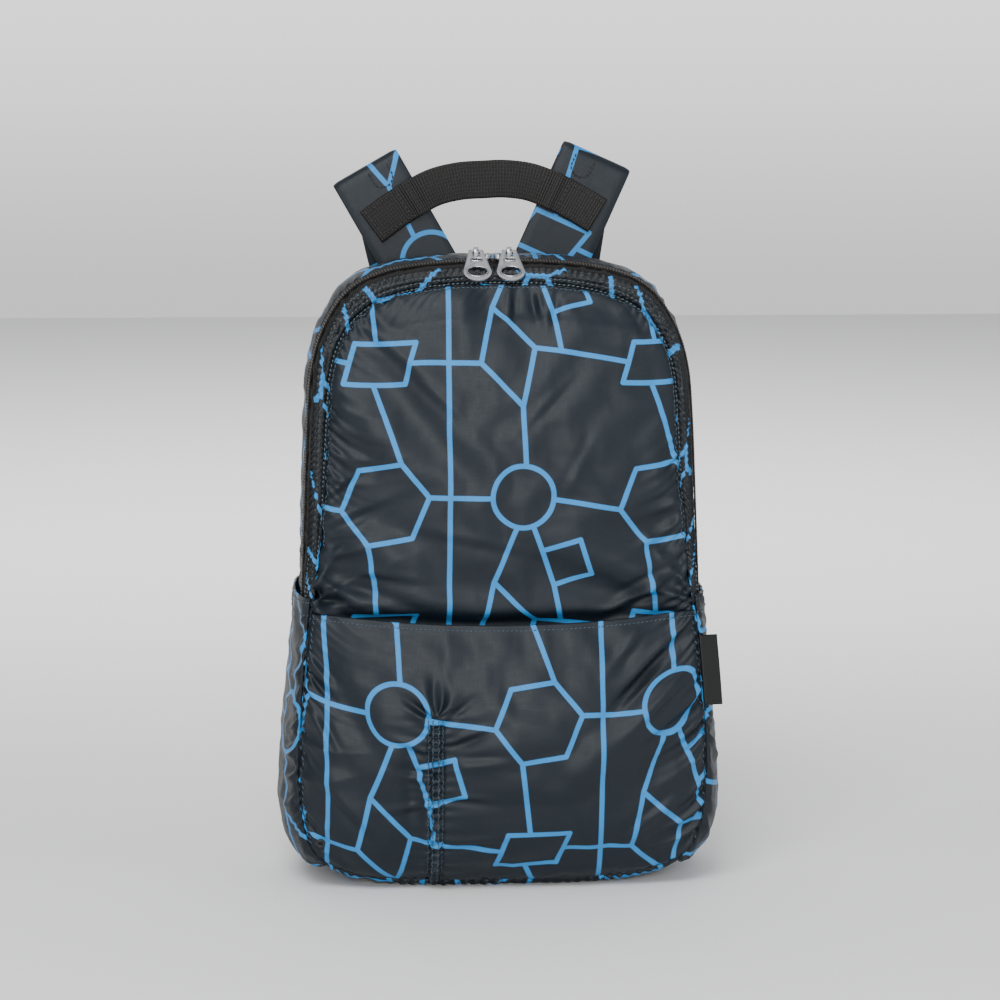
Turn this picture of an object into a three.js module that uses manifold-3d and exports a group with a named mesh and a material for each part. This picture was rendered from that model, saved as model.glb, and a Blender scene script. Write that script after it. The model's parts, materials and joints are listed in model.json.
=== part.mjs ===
// A light packable daypack, standing on its base with its two zip sliders parked at the top.
// It is sewn from thin cloth panels, so each panel is a hollow wall with a small gap at its seams.
// Millimetres, +X to the right of the front, +Y towards the back, +Z up, origin on the floor under the bag.
import * as THREE from "three";
import { mergeVertices } from "three/addons/utils/BufferGeometryUtils.js";
import Module from "manifold-3d";

const wasm = await Module();
wasm.setup();

// Body
const bodyHeight = 435;
const bodyHalfWidth = 140;
const frontDepth = 68; // middle plane to the front seam, at its deepest
const backDepth = 60; // middle plane to the back seam, at its deepest
const clothWall = 1.2;
const seamGap = 0.3;
const frontPuff = 21; // how far the upper front panel stands out of its seam
const hiddenPuff = 3; // the same panel behind the pocket
const backPuff = 8;

// Front pocket
const pocketHeight = 187;
const pocketCornerRise = 8; // its mouth runs up towards the side seams
const pocketPuff = 36;
const pocketMouthDepth = 0.42; // share of pocketPuff that is left along the mouth
const floorClearance = 0.4; // the pocket's cloth stays this far off the floor
const pocketZipThickness = 1;
const pocketZipDrop = 2.2; // the tape is sewn this far under the edge of the mouth
const pocketZipLeastWidth = 3;

// Side pockets
const sidePocketHeight = 204;
const sidePocketPuff = 17;
const sidePocketMouth = 7; // how far the mouth stands off the side
const sidePocketLow = 2.7; // place on the ring where it is sewn down below
const sidePocketEdge = 0.06; // share of the way round the side wall where it is sewn down

// Main zip
const zipEndHeight = 198;
const zipEndGap = 0.02; // between the zip's end and the cloth below it, as places on the ring
const zipFrontShare = 0.215; // shares of the way round the side wall, front seam to back seam
const zipCoilShare = 0.3;
const zipRearShare = 0.385;
const zipTapeWall = 1;
const coilWidth = 6;
const coilHeight = 1.6;

// Sliders and pulls
const parkX = -5; // where the two sliders meet
const sliderLength = 14.5;
const sliderWidth = 9;
const sliderPlate = 1.4;
const sliderNoseGap = 0.8; // from the meeting point to each slider
const bridgeWidth = 3.2;
const bridgeInner = 1.7;
const bridgeOuter = 3.3;
const sliderRib = 2.6; // height of the raised rib above the plate
const bridgeRise = 4; // pull axis above the slider's plate
const pullSpread = 11.4; // each pull's middle from the meeting point
const pullLength = 31;
const pullThickness = 1.8;
const pullTopWidth = 10.5;
const pullBottomWidth = 19.5;
const pullBarRadius = 1.1;
const pullEyeWidth = 5;
const pullEyeReach = 5.9;
const pullSlotWidth = 7;
const pullSlotHeight = 2.2;
const pullSlotReach = 9.2;
const pullOvalWidth = 13.4;
const pullOvalHeight = 9.6;
const pullOvalReach = 21.8;
const pullClearance = 0.6;

// Straps, handle and webbing
const strapWidth = 52;
const strapThickness = 3;
const strapRootX = 47.5; // middle of the strap where it passes the top of the bag
const strapRootInset = 12; // its sewn end lies this much nearer the middle
const strapRootDrop = 30; // sewn end, below the top of the bag
const strapRise = 64; // fold line above the top of the bag
const strapLean = 27; // degrees out from upright
const strapTurn = 2.8; // degrees that the straps and handle lean over as they stand
const strapShift = -2; // and how far they stand off the middle
const strapFoldRadius = 4.6;
const strapBow = 20; // how far the shoulder strap stands off the back panel
const strapEndHeight = 188;
const strapEndWidth = 27;
const strapEndX = 68;
const handleWidth = 27;
const handleThickness = 1.6;
const handleRise = 51.5; // centre line of the arch above the top of the bag
const handleSpan = 81; // each end from the middle
const handleEndDrop = 30;
const webbingWidth = 25;
const webbingThickness = 1.4;
const anchorHeight = 86;
const tabRootHeight = 34;
const tabOverlap = 3;
const tabReachLeft = 12;
const tabReachRight = 22;
const lockWidth = 35;
const lockHeight = 27;
const lockThickness = 3.6;
const lockBar = 4;
const tailLength = 62;

// Label
const labelHeight = 49;
const labelReach = 13;
const labelThickness = 1;
const labelDrop = 10; // its top, below the mouth of the front pocket
const labelSweep = 12; // degrees back from the line across the bag
const labelBend = 1.2;

// Corners of the panels, as places on the ring that is described below, and the counts of faces
const bottomCorner = 3.2;
const topCorner = 11.3;
const panelColumns = 16;
const panelRows = 20;
const pocketRows = 11;
const bandColumns = 3;
const tapeColumns = 2;
const gussetColumns = 5;
const baseColumns = 7;

const radians = (degrees) => (degrees * Math.PI) / 180;
const mix = (a, b, share) => a + (b - a) * share;
const ease = (share) => {
  const s = Math.min(1, Math.max(0, share));
  return s * s * (3 - 2 * s);
};

// Half of the bag's outline, from the middle of the base round the side to the middle of the top.
// X is a share of bodyHalfWidth, Z of bodyHeight, front Y of frontDepth and back Y of backDepth.
const outlineColumns = ["wideX", "wideZ", "frontX", "frontZ", "frontY", "backX", "backZ", "backY"];
const outlineRows = [
  [0.0, -0.008, 0.0, 0.012, 0.88, 0.0, 0.02, 0.8],
  [0.43, -0.007, 0.43, 0.014, 0.88, 0.42, 0.021, 0.8],
  [0.74, 0.008, 0.74, 0.026, 0.89, 0.72, 0.03, 0.82],
  [0.915, 0.042, 0.915, 0.06, 0.93, 0.89, 0.062, 0.87],
  [0.995, 0.105, 0.98, 0.12, 0.98, 0.96, 0.122, 0.93],
  [1.008, 0.215, 0.998, 0.222, 1.0, 0.976, 0.226, 0.97],
  [0.99, 0.402, 0.955, 0.406, 1.0, 0.956, 0.406, 1.0],
  [0.98, 0.592, 0.885, 0.59, 0.97, 0.94, 0.588, 1.0],
  [0.962, 0.757, 0.853, 0.745, 0.925, 0.922, 0.751, 0.985],
  [0.936, 0.839, 0.832, 0.822, 0.895, 0.893, 0.83, 0.97],
  [0.868, 0.903, 0.778, 0.875, 0.866, 0.826, 0.887, 0.96],
  [0.75, 0.957, 0.678, 0.915, 0.838, 0.71, 0.938, 0.95],
  [0.571, 0.985, 0.52, 0.942, 0.81, 0.542, 0.965, 0.95],
  [0.3, 0.998, 0.278, 0.957, 0.794, 0.285, 0.979, 0.95],
  [0.0, 1.0, 0.0, 0.96, 0.78, 0.0, 0.981, 0.95],
];
const topRow = outlineRows.length - 1;
const columnScale = { X: bodyHalfWidth, Z: bodyHeight, frontY: -frontDepth, backY: backDepth };

// One column's value at any place down the table, smooth through its rows and mirrored past both ends.
function outlineValue(name, place) {
  const column = outlineColumns.indexOf(name);
  const odd = name.endsWith("X") ? -1 : 1;
  const rowValue = (row) => {
    if (row < 0) return odd * outlineRows[-row][column];
    if (row > topRow) return odd * outlineRows[2 * topRow - row][column];
    return outlineRows[row][column];
  };
  const first = Math.min(Math.floor(place), topRow - 1);
  const t = place - first;
  const [a, b, c, d] = [-1, 0, 1, 2].map((step) => rowValue(first + step));
  const share = b + 0.5 * t * (c - a + t * (2 * a - 5 * b + 4 * c - d + t * (3 * (b - c) + d - a)));
  return share * (columnScale[name] ?? columnScale[name.slice(-1)]);
}

// A place on the whole ring: 0 is the middle of the base, topRow the middle of the top, and the
// right side lies between them. Past topRow, or below 0, the place is on the left side.
function ringParts(ring) {
  const whole = 2 * topRow;
  const wrapped = ((ring % whole) + whole) % whole;
  return wrapped <= topRow ? { side: 1, place: wrapped } : { side: -1, place: whole - wrapped };
}
const ringCache = new Map();
function seams(ring) {
  const key = ring.toFixed(6);
  if (!ringCache.has(key)) {
    const { side, place } = ringParts(ring);
    const value = (name) => outlineValue(name, place);
    ringCache.set(key, {
      front: new THREE.Vector3(side * value("frontX"), value("frontY"), value("frontZ")),
      back: new THREE.Vector3(side * value("backX"), value("backY"), value("backZ")),
      wide: { x: side * value("wideX"), z: value("wideZ") },
    });
  }
  return ringCache.get(key);
}

// The side wall: half an ellipse from the front seam (share 0) over the widest line to the back seam (share 1).
// It is pressed flat where the bag stands on the floor.
function wallPoint(ring, share) {
  const { front, back, wide } = seams(ring);
  const angle = Math.PI * share;
  const seam = share < 0.5 ? front : back;
  const swell = Math.sin(angle);
  const x = mix(seam.x, wide.x, swell);
  const y = mix(front.y, back.y, (1 - Math.cos(angle)) / 2);
  const z = mix(seam.z, wide.z, swell);
  return new THREE.Vector3(x, y, Math.max(0, z));
}

// The way into the bag: towards the nearest point of a block in its middle.
function inward(point) {
  const core = new THREE.Vector3(
    THREE.MathUtils.clamp(point.x, -0.57 * bodyHalfWidth, 0.57 * bodyHalfWidth),
    THREE.MathUtils.clamp(point.y, -0.3 * frontDepth, 0.3 * backDepth),
    THREE.MathUtils.clamp(point.z, 0.14 * bodyHeight, 0.82 * bodyHeight),
  );
  return core.sub(point).normalize();
}
const moved = (point, direction, distance) => point.clone().addScaledVector(direction, distance);
const sunk = (point, depth) => moved(point, inward(point), depth);

// The place on the ring, on the right side, where a seam or the widest line has this height.
function ringAtHeight(name, height) {
  let [low, high] = [2, topRow - 2];
  for (let step = 0; step < 40; step += 1) {
    const middle = (low + high) / 2;
    if (outlineValue(name, middle) < height) low = middle;
    else high = middle;
  }
  return low;
}

// Places on the ring, evenly spaced along the front seam.
function evenPlaces(from, to, count) {
  const fine = 24 * count;
  const places = Array.from({ length: fine + 1 }, (_, i) => mix(from, to, i / fine));
  const along = [0];
  for (let i = 1; i <= fine; i += 1) {
    along.push(along[i - 1] + seams(places[i]).front.distanceTo(seams(places[i - 1]).front));
  }
  let i = 0;
  return Array.from({ length: count + 1 }, (_, step) => {
    const goal = (along[fine] * step) / count;
    while (i < fine - 1 && along[i + 1] < goal) i += 1;
    return mix(places[i], places[i + 1], Math.min(1, (goal - along[i]) / (along[i + 1] - along[i])));
  });
}

// Stations round the whole bag that every piece shares, so that pieces bend at the same places along a seam.
const ringStations = (() => {
  const side = evenPlaces(bottomCorner, topCorner, panelRows);
  const right = [...side, ...evenPlaces(topCorner, topRow, panelColumns / 2).slice(1)];
  const low = evenPlaces(0, bottomCorner, panelColumns / 2).slice(0, -1);
  const half = [...low, ...right];
  const left = half.slice(1, -1).map((place) => -place).reverse();
  return [...left, ...half, ...left.map((place) => place + 2 * topRow)];
})();
function placesBetween(from, to) {
  const least = (0.25 * Math.abs(to - from)) / panelColumns;
  const [low, high] = [Math.min(from, to) + least, Math.max(from, to) - least];
  const inside = ringStations.filter((place) => place > low && place < high);
  if (to < from) inside.reverse();
  return [from, ...inside, to];
}

// A closed solid from a grid of outer points and the matching inner points.
function shell(outer, inner) {
  const [rows, columns] = [outer.length, outer[0].length];
  const points = [...outer.flat(), ...inner.flat()];
  const lower = rows * columns;
  const faces = [];
  const quad = (a, b, c, d) => faces.push(a, b, c, a, c, d);
  const at = (row, column) => row * columns + column;
  for (let row = 0; row + 1 < rows; row += 1) {
    for (let column = 0; column + 1 < columns; column += 1) {
      const corners = [at(row, column), at(row, column + 1), at(row + 1, column + 1), at(row + 1, column)];
      quad(...corners);
      quad(...corners.map((corner) => corner + lower).reverse());
    }
  }
  const rim = [];
  for (let column = 0; column + 1 < columns; column += 1) rim.push(at(0, column));
  for (let row = 0; row + 1 < rows; row += 1) rim.push(at(row, columns - 1));
  for (let column = columns - 1; column > 0; column -= 1) rim.push(at(rows - 1, column));
  for (let row = rows - 1; row > 0; row -= 1) rim.push(at(row, 0));
  rim.forEach((corner, i) => {
    const next = rim[(i + 1) % rim.length];
    quad(next, corner, corner + lower, next + lower);
  });
  return closedGeometry(points, faces);
}

// Indexed geometry whose faces point out, whichever way its grid ran.
function closedGeometry(points, faces) {
  let volume = 0;
  for (let i = 0; i < faces.length; i += 3) {
    const [a, b, c] = faces.slice(i, i + 3).map((index) => points[index]);
    volume += a.dot(b.clone().cross(c));
  }
  const turned = volume < 0 ? faces.map((_, i) => faces[i - (i % 3) + [0, 2, 1][i % 3]]) : faces;
  const geometry = new THREE.BufferGeometry();
  geometry.setAttribute("position", new THREE.Float32BufferAttribute(points.flatMap((p) => p.toArray()), 3));
  geometry.setIndex(turned);
  return geometry;
}

const shares = (from, to, count) => Array.from({ length: count + 1 }, (_, i) => mix(from, to, i / count));

// A strip of the side wall, between two places on the ring and two shares of the way round it.
function wallStrip(ringFrom, ringTo, shareFrom, shareTo, shareCount, lift, thickness) {
  const outer = placesBetween(ringFrom, ringTo).map((ring) =>
    shares(shareFrom, shareTo, shareCount).map((share) => {
      const point = wallPoint(ring, share);
      return sunk(point, -lift(ring, share));
    }),
  );
  return shell(outer, outer.map((row) => row.map((point) => sunk(point, thickness))));
}

// A patch with four curved sides: bottom and top run left to right, left and right run upwards.
function patch(bottom, right, top, left) {
  return (u, v) => {
    const point = new THREE.Vector3();
    point.addScaledVector(bottom(u), 1 - v).addScaledVector(top(u), v);
    point.addScaledVector(left(v), 1 - u).addScaledVector(right(v), u);
    point.addScaledVector(bottom(0), -(1 - u) * (1 - v)).addScaledVector(bottom(1), -u * (1 - v));
    return point.addScaledVector(top(0), -(1 - u) * v).addScaledVector(top(1), -u * v);
  };
}
// A side of a patch that follows one of the bag's seams.
function seamSide(name, from, to) {
  const steps = 40;
  const places = evenPlaces(from, to, steps);
  return (share) => {
    const i = Math.min(steps - 1, Math.floor(share * steps));
    return seams(mix(places[i], places[i + 1], share * steps - i))[name].clone();
  };
}

function seamPatch(name) {
  return patch(
    seamSide(name, -bottomCorner, bottomCorner),
    seamSide(name, bottomCorner, topCorner),
    seamSide(name, 2 * topRow - topCorner, topCorner),
    seamSide(name, -bottomCorner, -topCorner),
  );
}

// Long soft folds in the front cloth: where each lies, how it runs, and how deep it is.
// X and Z are shares of bodyHalfWidth and bodyHeight, lengths and widths of bodyHeight, depths of frontPuff.
const foldColumns = ["x", "z", "degrees", "length", "width", "depth"];
const panelFolds = [
  [-0.5, 0.79, -50, 0.12, 0.032, -0.16],
  [-0.62, 0.73, -46, 0.1, 0.03, 0.14],
  [-0.72, 0.6, -22, 0.09, 0.032, -0.16],
  [-0.6, 0.55, -38, 0.11, 0.034, 0.2],
  [-0.76, 0.5, -30, 0.1, 0.03, -0.2],
  [-0.5, 0.475, -14, 0.14, 0.028, 0.16],
  [0.74, 0.58, 10, 0.09, 0.03, -0.14],
  [0.66, 0.51, -26, 0.12, 0.032, 0.2],
  [0.5, 0.475, -20, 0.12, 0.028, -0.16],
  [0.12, 0.9, 86, 0.06, 0.03, -0.12],
  [-0.2, 0.91, 96, 0.05, 0.028, 0.1],
];
const pocketFolds = [
  [0.78, 0.35, 38, 0.12, 0.03, -0.2],
  [0.68, 0.29, 42, 0.14, 0.032, 0.22],
  [0.84, 0.24, 50, 0.1, 0.03, -0.2],
  [-0.8, 0.32, -60, 0.1, 0.03, -0.18],
  [-0.84, 0.17, -72, 0.12, 0.032, 0.18],
  [-0.45, 0.13, 90, 0.15, 0.026, -0.24],
  [-0.28, 0.24, 36, 0.07, 0.028, -0.12],
  [0.2, 0.06, 8, 0.16, 0.03, -0.16],
];
function foldDepth(table, point) {
  return table.reduce((sum, row) => {
    const fold = Object.fromEntries(foldColumns.map((name, i) => [name, row[i]]));
    const x = point.x - fold.x * bodyHalfWidth;
    const z = point.z - fold.z * bodyHeight;
    const [cosine, sine] = [Math.cos(radians(fold.degrees)), Math.sin(radians(fold.degrees))];
    const along = (x * cosine + z * sine) / (fold.length * bodyHeight);
    const across = (z * cosine - x * sine) / (fold.width * bodyHeight);
    return sum + fold.depth * frontPuff * Math.exp(-along * along - across * across);
  }, 0);
}

// The upper front: a taut pillow above the pocket that runs on, almost flat, behind it.
const mouthHeight = (x) => pocketHeight + pocketCornerRise * (x / bodyHalfWidth) ** 2;
const frontSeams = seamPatch("front");
const frontTop = outlineValue("frontZ", topRow);
function frontPoint(u, v) {
  const point = frontSeams(u, v);
  const across = Math.sin(Math.PI * u) ** 0.62;
  const rise = (point.z - mouthHeight(point.x)) / (frontTop - mouthHeight(point.x));
  const pillow = rise > 0 ? Math.sin(Math.PI * Math.min(1, 0.985 * rise)) ** 0.66 : 0;
  const edge = Math.min(1, Math.sin(Math.PI * v) * 4) ** 0.6;
  const folds = rise > 0 ? foldDepth(panelFolds, point) * Math.min(1, 3 * across * pillow) : 0;
  point.y -= edge * (frontPuff * across * pillow + hiddenPuff * across * (1 - ease(8 * rise))) + folds;
  const behindPocket = 1 - ease((point.z - mouthHeight(point.x)) / (6 * clothWall));
  return sunk(point, behindPocket * (clothWall + 2 * seamGap));
}

// The front pocket: from the side and base seams to its mouth.
const pocketCornerRing = ringAtHeight("frontZ", mouthHeight(bodyHalfWidth * 0.96));
const mouthLine = (u) => {
  const [left, right] = [seams(-pocketCornerRing).front, seams(pocketCornerRing).front];
  const x = mix(left.x, right.x, u);
  return new THREE.Vector3(x, left.y, mix(mouthHeight(x), left.z, Math.abs(2 * u - 1) ** 6));
};
const pocketSeams = patch(
  seamSide("front", -bottomCorner, bottomCorner),
  seamSide("front", bottomCorner, pocketCornerRing),
  mouthLine,
  seamSide("front", -bottomCorner, -pocketCornerRing),
);
function pocketPoint(u, v) {
  const point = pocketSeams(u, v);
  const across = Math.sin(Math.PI * u) ** 0.55;
  const up = Math.max(Math.sin(Math.PI * Math.min(1, 0.86 * v)) ** 0.62, 0);
  const folds = foldDepth(pocketFolds, point) * Math.min(1, 4 * across * Math.sin(Math.PI * v) ** 0.5);
  point.y -= across * pocketPuff * up * mix(1, pocketMouthDepth / 0.6, ease((v - 0.55) / 0.45)) + folds;
  const sag = 0.012 * bodyHeight * across * Math.sin(Math.PI * Math.min(1, 3 * v));
  point.z = Math.max(floorClearance, point.z - sag);
  return point;
}

// The back panel is flatter, because it lies against the wearer.
const backSeams = seamPatch("back");
function backPoint(u, v) {
  const point = backSeams(u, v);
  point.y += backPuff * Math.sin(Math.PI * u) ** 0.6 * Math.sin(Math.PI * v) ** 0.6;
  return point;
}

// Finds the shares of a patch that give a wanted X and Z.
function findShares(surface, x, z) {
  let [u, v] = [0.5, 0.5];
  for (let step = 0; step < 60; step += 1) {
    const point = surface(u, v);
    u = THREE.MathUtils.clamp(u + (x - point.x) / (2.4 * bodyHalfWidth), 0, 1);
    v = THREE.MathUtils.clamp(v + (z - point.z) / bodyHeight, 0, 1);
  }
  return [u, v];
}

function panelGeometry(surface, columns, rows) {
  const trimU = seamGap / 2 / (2 * bodyHalfWidth);
  const trimV = seamGap / 2 / pocketHeight;
  const outer = shares(trimV, 1 - trimV, rows).map((v) =>
    shares(trimU, 1 - trimU, columns).map((u) => surface(u, v)),
  );
  return shell(outer, outer.map((row) => row.map((point) => sunk(point, clothWall))));
}

const zipRing = ringAtHeight("wideZ", zipEndHeight);
const upperArch = [zipRing, 2 * topRow - zipRing];
const wallLength = Math.PI * 0.5 * (frontDepth + backDepth) * 0.5;
const shareGap = (0.75 * seamGap) / wallLength;
const flush = () => 0;

const bandGeometry = () =>
  wallStrip(...upperArch, shareGap, zipFrontShare - shareGap, bandColumns, flush, clothWall);
const tapeGeometry = () =>
  wallStrip(...upperArch, zipFrontShare + shareGap, zipRearShare - shareGap, tapeColumns, flush, zipTapeWall);
const gussetGeometry = () =>
  wallStrip(...upperArch, zipRearShare + shareGap, 1 - shareGap, gussetColumns, flush, clothWall);

// The coil lies on the tape, over the middle of the zip.
function coilGeometry() {
  const half = (0.5 * coilWidth) / wallLength;
  const profile = [
    [-half, 0.35],
    [-0.45 * half, 1],
    [0.45 * half, 1],
    [half, 0.35],
  ];
  const layer = (height) =>
    placesBetween(...upperArch).map((ring) =>
      profile.map(([offset, share]) => sunk(wallPoint(ring, zipCoilShare + offset), -height(share))),
    );
  return shell(layer((share) => seamGap + coilHeight * share), layer(() => seamGap));
}

// Below the zip, one length of cloth goes down the left side, under the bag and up the right side.
const baseGeometry = () =>
  wallStrip(-zipRing + zipEndGap, zipRing - zipEndGap, shareGap, 1 - shareGap, baseColumns, flush, clothWall);

// A side pocket lies over the side wall, sewn down at both seams and at the bottom, open at the top.
const sidePocketRing = ringAtHeight("wideZ", sidePocketHeight);
function sidePocketGeometry(side) {
  const lift = (ring, share) => {
    const up = (ringParts(ring).place - sidePocketLow) / (sidePocketRing - sidePocketLow);
    const round = (share - sidePocketEdge) / (1 - 2 * sidePocketEdge);
    const across = Math.max(0, Math.sin(Math.PI * round)) ** 0.8;
    const belly = sidePocketPuff * Math.sin(Math.PI * Math.min(1, 0.9 * up + 0.02)) ** 0.7;
    const swell = Math.max(belly * (1 - 0.6 * up), sidePocketMouth * ease(1.6 * up), 0);
    return seamGap + clothWall + across * swell;
  };
  const [low, high] = [side * sidePocketLow, side * sidePocketRing];
  return wallStrip(low, high, sidePocketEdge, 1 - sidePocketEdge, baseColumns, lift, clothWall);
}

// The front pocket's zip: a dark tape from inside the mouth back to the front panel.
function pocketZipGeometry() {
  const panelStep = bodyHeight / panelRows;
  const strips = shares(0.04, 0.96, panelColumns)
    .map((u) => {
      const lip = sunk(pocketPoint(u, 1), clothWall);
      const z = lip.z - pocketZipDrop;
      const wallAt = (height) => frontPoint(...findShares(frontPoint, lip.x, height)).y;
      const wall = Math.min(...shares(z - panelStep, z + panelStep, 4).map(wallAt));
      return { x: lip.x, z, front: lip.y + 2 * seamGap, rear: wall - 2 * seamGap };
    })
    .filter((strip) => strip.rear - strip.front > pocketZipLeastWidth);
  const layer = (drop) =>
    strips.map((strip) =>
      shares(0, 1, 2).map(
        (share) => new THREE.Vector3(strip.x, mix(strip.front, strip.rear, share), strip.z - drop),
      ),
    );
  return shell(layer(0), layer(pocketZipThickness));
}

// A flat band along a path. Each station has a point, the way across the band and the way it faces.
function bandAlong(stations, width, thickness) {
  const layer = (height) =>
    stations.map(({ point, across, facing, narrow = 1 }) =>
      [-0.5, 0, 0.5].map((share) => moved(moved(point, across, width * narrow * share), facing, height)),
    );
  return shell(layer(thickness / 2), layer(-thickness / 2));
}
// Stations along a smooth curve. The band stays square to the path, and faces as near the given way as it can.
function curveStations(points, count, facingAt) {
  const curve = new THREE.CatmullRomCurve3(points, false, "centripetal");
  return shares(0, 1, count).map((share) => {
    const along = curve.getTangentAt(share);
    const facing = facingAt(share).clone();
    facing.addScaledVector(along, -facing.dot(along)).normalize();
    return { point: curve.getPointAt(share), across: new THREE.Vector3().crossVectors(along, facing), facing };
  });
}

const topZ = bodyHeight;
const strapLeanAngle = radians(strapLean);
const strapUp = new THREE.Vector3(Math.sin(strapLeanAngle), 0, Math.cos(strapLeanAngle));
const strapAcross = new THREE.Vector3(Math.cos(strapLeanAngle), 0, -Math.sin(strapLeanAngle));
const strapRootZ = topZ - strapRootDrop;
const backFace = Math.max(
  ...shares(-0.5, 0.5, 4).flatMap((across) =>
    shares(0, 0.6, 3).map((up) => {
      const x = strapRootX - strapRootInset + across * strapWidth;
      return backPoint(...findShares(backPoint, x, mix(strapRootZ, topZ, up))).y;
    }),
  ),
);
const strapFrontY = backFace + seamGap + strapThickness / 2;
const strapRearY = strapFrontY + 2 * strapFoldRadius;
const strapTopLength = (topZ + strapRise - strapFoldRadius - strapRootZ) / Math.cos(strapLeanAngle);

// The right strap's centre line: up off the back panel, over its fold, and down behind the bag.
function strapStations() {
  const root = new THREE.Vector3(strapRootX - strapRootInset, strapFrontY, strapRootZ);
  const stations = [];
  const place = (distance, y, facing) =>
    stations.push({ point: moved(root, strapUp, distance).setY(y), across: strapAcross.clone(), facing });
  shares(0, 1, 8).forEach((share) => place(strapTopLength * share, strapFrontY, new THREE.Vector3(0, -1, 0)));
  const foldSteps = 6;
  for (let step = 1; step <= foldSteps; step += 1) {
    const angle = (Math.PI * step) / foldSteps;
    const facing = strapUp.clone().multiplyScalar(Math.sin(angle)).setY(-Math.cos(angle));
    const lift = strapTopLength + strapFoldRadius * Math.sin(angle);
    place(lift, strapFrontY + strapFoldRadius * (1 - Math.cos(angle)), facing);
  }
  const downLength = strapTopLength * 0.4;
  shares(0, 1, 3)
    .slice(1)
    .forEach((share) => place(strapTopLength - downLength * share, strapRearY, new THREE.Vector3(0, 1, 0)));
  const last = stations.at(-1).point;
  const backOut = backDepth + backPuff + strapThickness / 2 + strapBow;
  const tailPoint = (out, back, height) =>
    new THREE.Vector3(
      mix(strapRootX, strapEndX, out),
      mix(strapRearY, backOut, back),
      mix(strapEndHeight, topZ, height),
    );
  const tail = [
    last,
    tailPoint(0.29, 0.45, 0.86),
    tailPoint(0.3, 0.85, 0.56),
    tailPoint(0.7, 1, 0.42),
    tailPoint(0.9, 0.9, 0.18),
    tailPoint(1, 0.62, 0),
  ];
  const run = curveStations(tail, 18, () => new THREE.Vector3(0, 1, 0)).slice(1);
  run.forEach((station, i) => {
    if (station.across.x < 0 !== stations.at(-1).across.x < 0) station.across.negate();
    station.narrow = mix(1, strapEndWidth / strapWidth, ease((i + 1) / run.length / 0.4 - 1.5));
  });
  return [...stations, ...run];
}
// The stood-up straps and handle lean over together, less and less down the back.
function leant(geometry) {
  const position = geometry.attributes.position;
  const pivot = new THREE.Vector3(0, 0, strapRootZ);
  for (let i = 0; i < position.count; i += 1) {
    const point = new THREE.Vector3().fromBufferAttribute(position, i);
    const part = ease((point.z - strapRootZ) / (0.35 * bodyHeight) + 1);
    point.sub(pivot).applyAxisAngle(new THREE.Vector3(0, 1, 0), -radians(strapTurn) * part).add(pivot);
    position.setXYZ(i, point.x + strapShift * part, point.y, point.z);
  }
  return geometry;
}
function mirrored(stations, side) {
  const flip = (vector) => new THREE.Vector3(side * vector.x, vector.y, vector.z);
  return stations.map(({ point, across, facing, narrow }) => ({
    narrow,
    point: flip(point),
    across: flip(across),
    facing: flip(facing),
  }));
}
const strapRun = strapStations();
const strapEnd = strapRun.at(-1);

// The handle: webbing sewn flat on both straps, arched between them.
function handleGeometry() {
  const onStrap = strapFrontY - strapThickness / 2 - seamGap - handleThickness / 2;
  const ends = [
    [handleSpan, handleRise - handleEndDrop],
    [0.81 * handleSpan, handleRise - 0.66 * handleEndDrop],
    [0.62 * handleSpan, handleRise - 0.36 * handleEndDrop],
    [0.42 * handleSpan, handleRise - 0.12 * handleEndDrop],
    [0.2 * handleSpan, handleRise - 0.01 * handleEndDrop],
  ];
  const side = (sign) => ends.map(([x, z]) => new THREE.Vector3(sign * x, onStrap, topZ + z));
  const points = [...side(-1), new THREE.Vector3(0, onStrap, topZ + handleRise), ...side(1).reverse()];
  return bandAlong(curveStations(points, 30, () => new THREE.Vector3(0, -1, 0)), handleWidth, handleThickness);
}

// The ladder lock hangs from the strap's end. Its upper slot holds the strap and its lower one the webbing.
const strapEndTilt = Math.abs(strapEnd.facing.z) * strapThickness;
const strapEndTurn = Math.abs(strapEnd.across.z) * strapEndWidth;
const lockTop = strapEnd.point.z - (strapEndTilt + strapEndTurn) / 2 - seamGap;
const lockY = strapEnd.point.y;
function lockGeometry() {
  const [w, h] = [lockWidth / 2, lockHeight / 2];
  const outline = roundedBox(0, 0, w, h, lockBar / 2);
  const slotHalf = (h - 1.5 * lockBar) / 2;
  const slotAt = slotHalf + lockBar / 2;
  outline.holes.push(roundedBox(0, slotAt, w - lockBar, slotHalf, 0.5 * slotHalf));
  outline.holes.push(roundedBox(0, -slotAt, w - lockBar, slotHalf, 0.5 * slotHalf));
  return new THREE.ExtrudeGeometry(outline, { depth: lockThickness, bevelEnabled: false, curveSegments: 2 })
    .translate(0, 0, -lockThickness / 2)
    .rotateX(Math.PI / 2);
}
function roundedBox(x, y, halfWidth, halfHeight, radius) {
  const shape = new THREE.Shape();
  const [w, h] = [halfWidth - radius, halfHeight - radius];
  shape.absarc(x + w, y + h, radius, 0, Math.PI / 2, false);
  shape.absarc(x - w, y + h, radius, Math.PI / 2, Math.PI, false);
  shape.absarc(x - w, y - h, radius, Math.PI, 1.5 * Math.PI, false);
  shape.absarc(x + w, y - h, radius, 1.5 * Math.PI, 2 * Math.PI, false);
  return shape;
}

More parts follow.
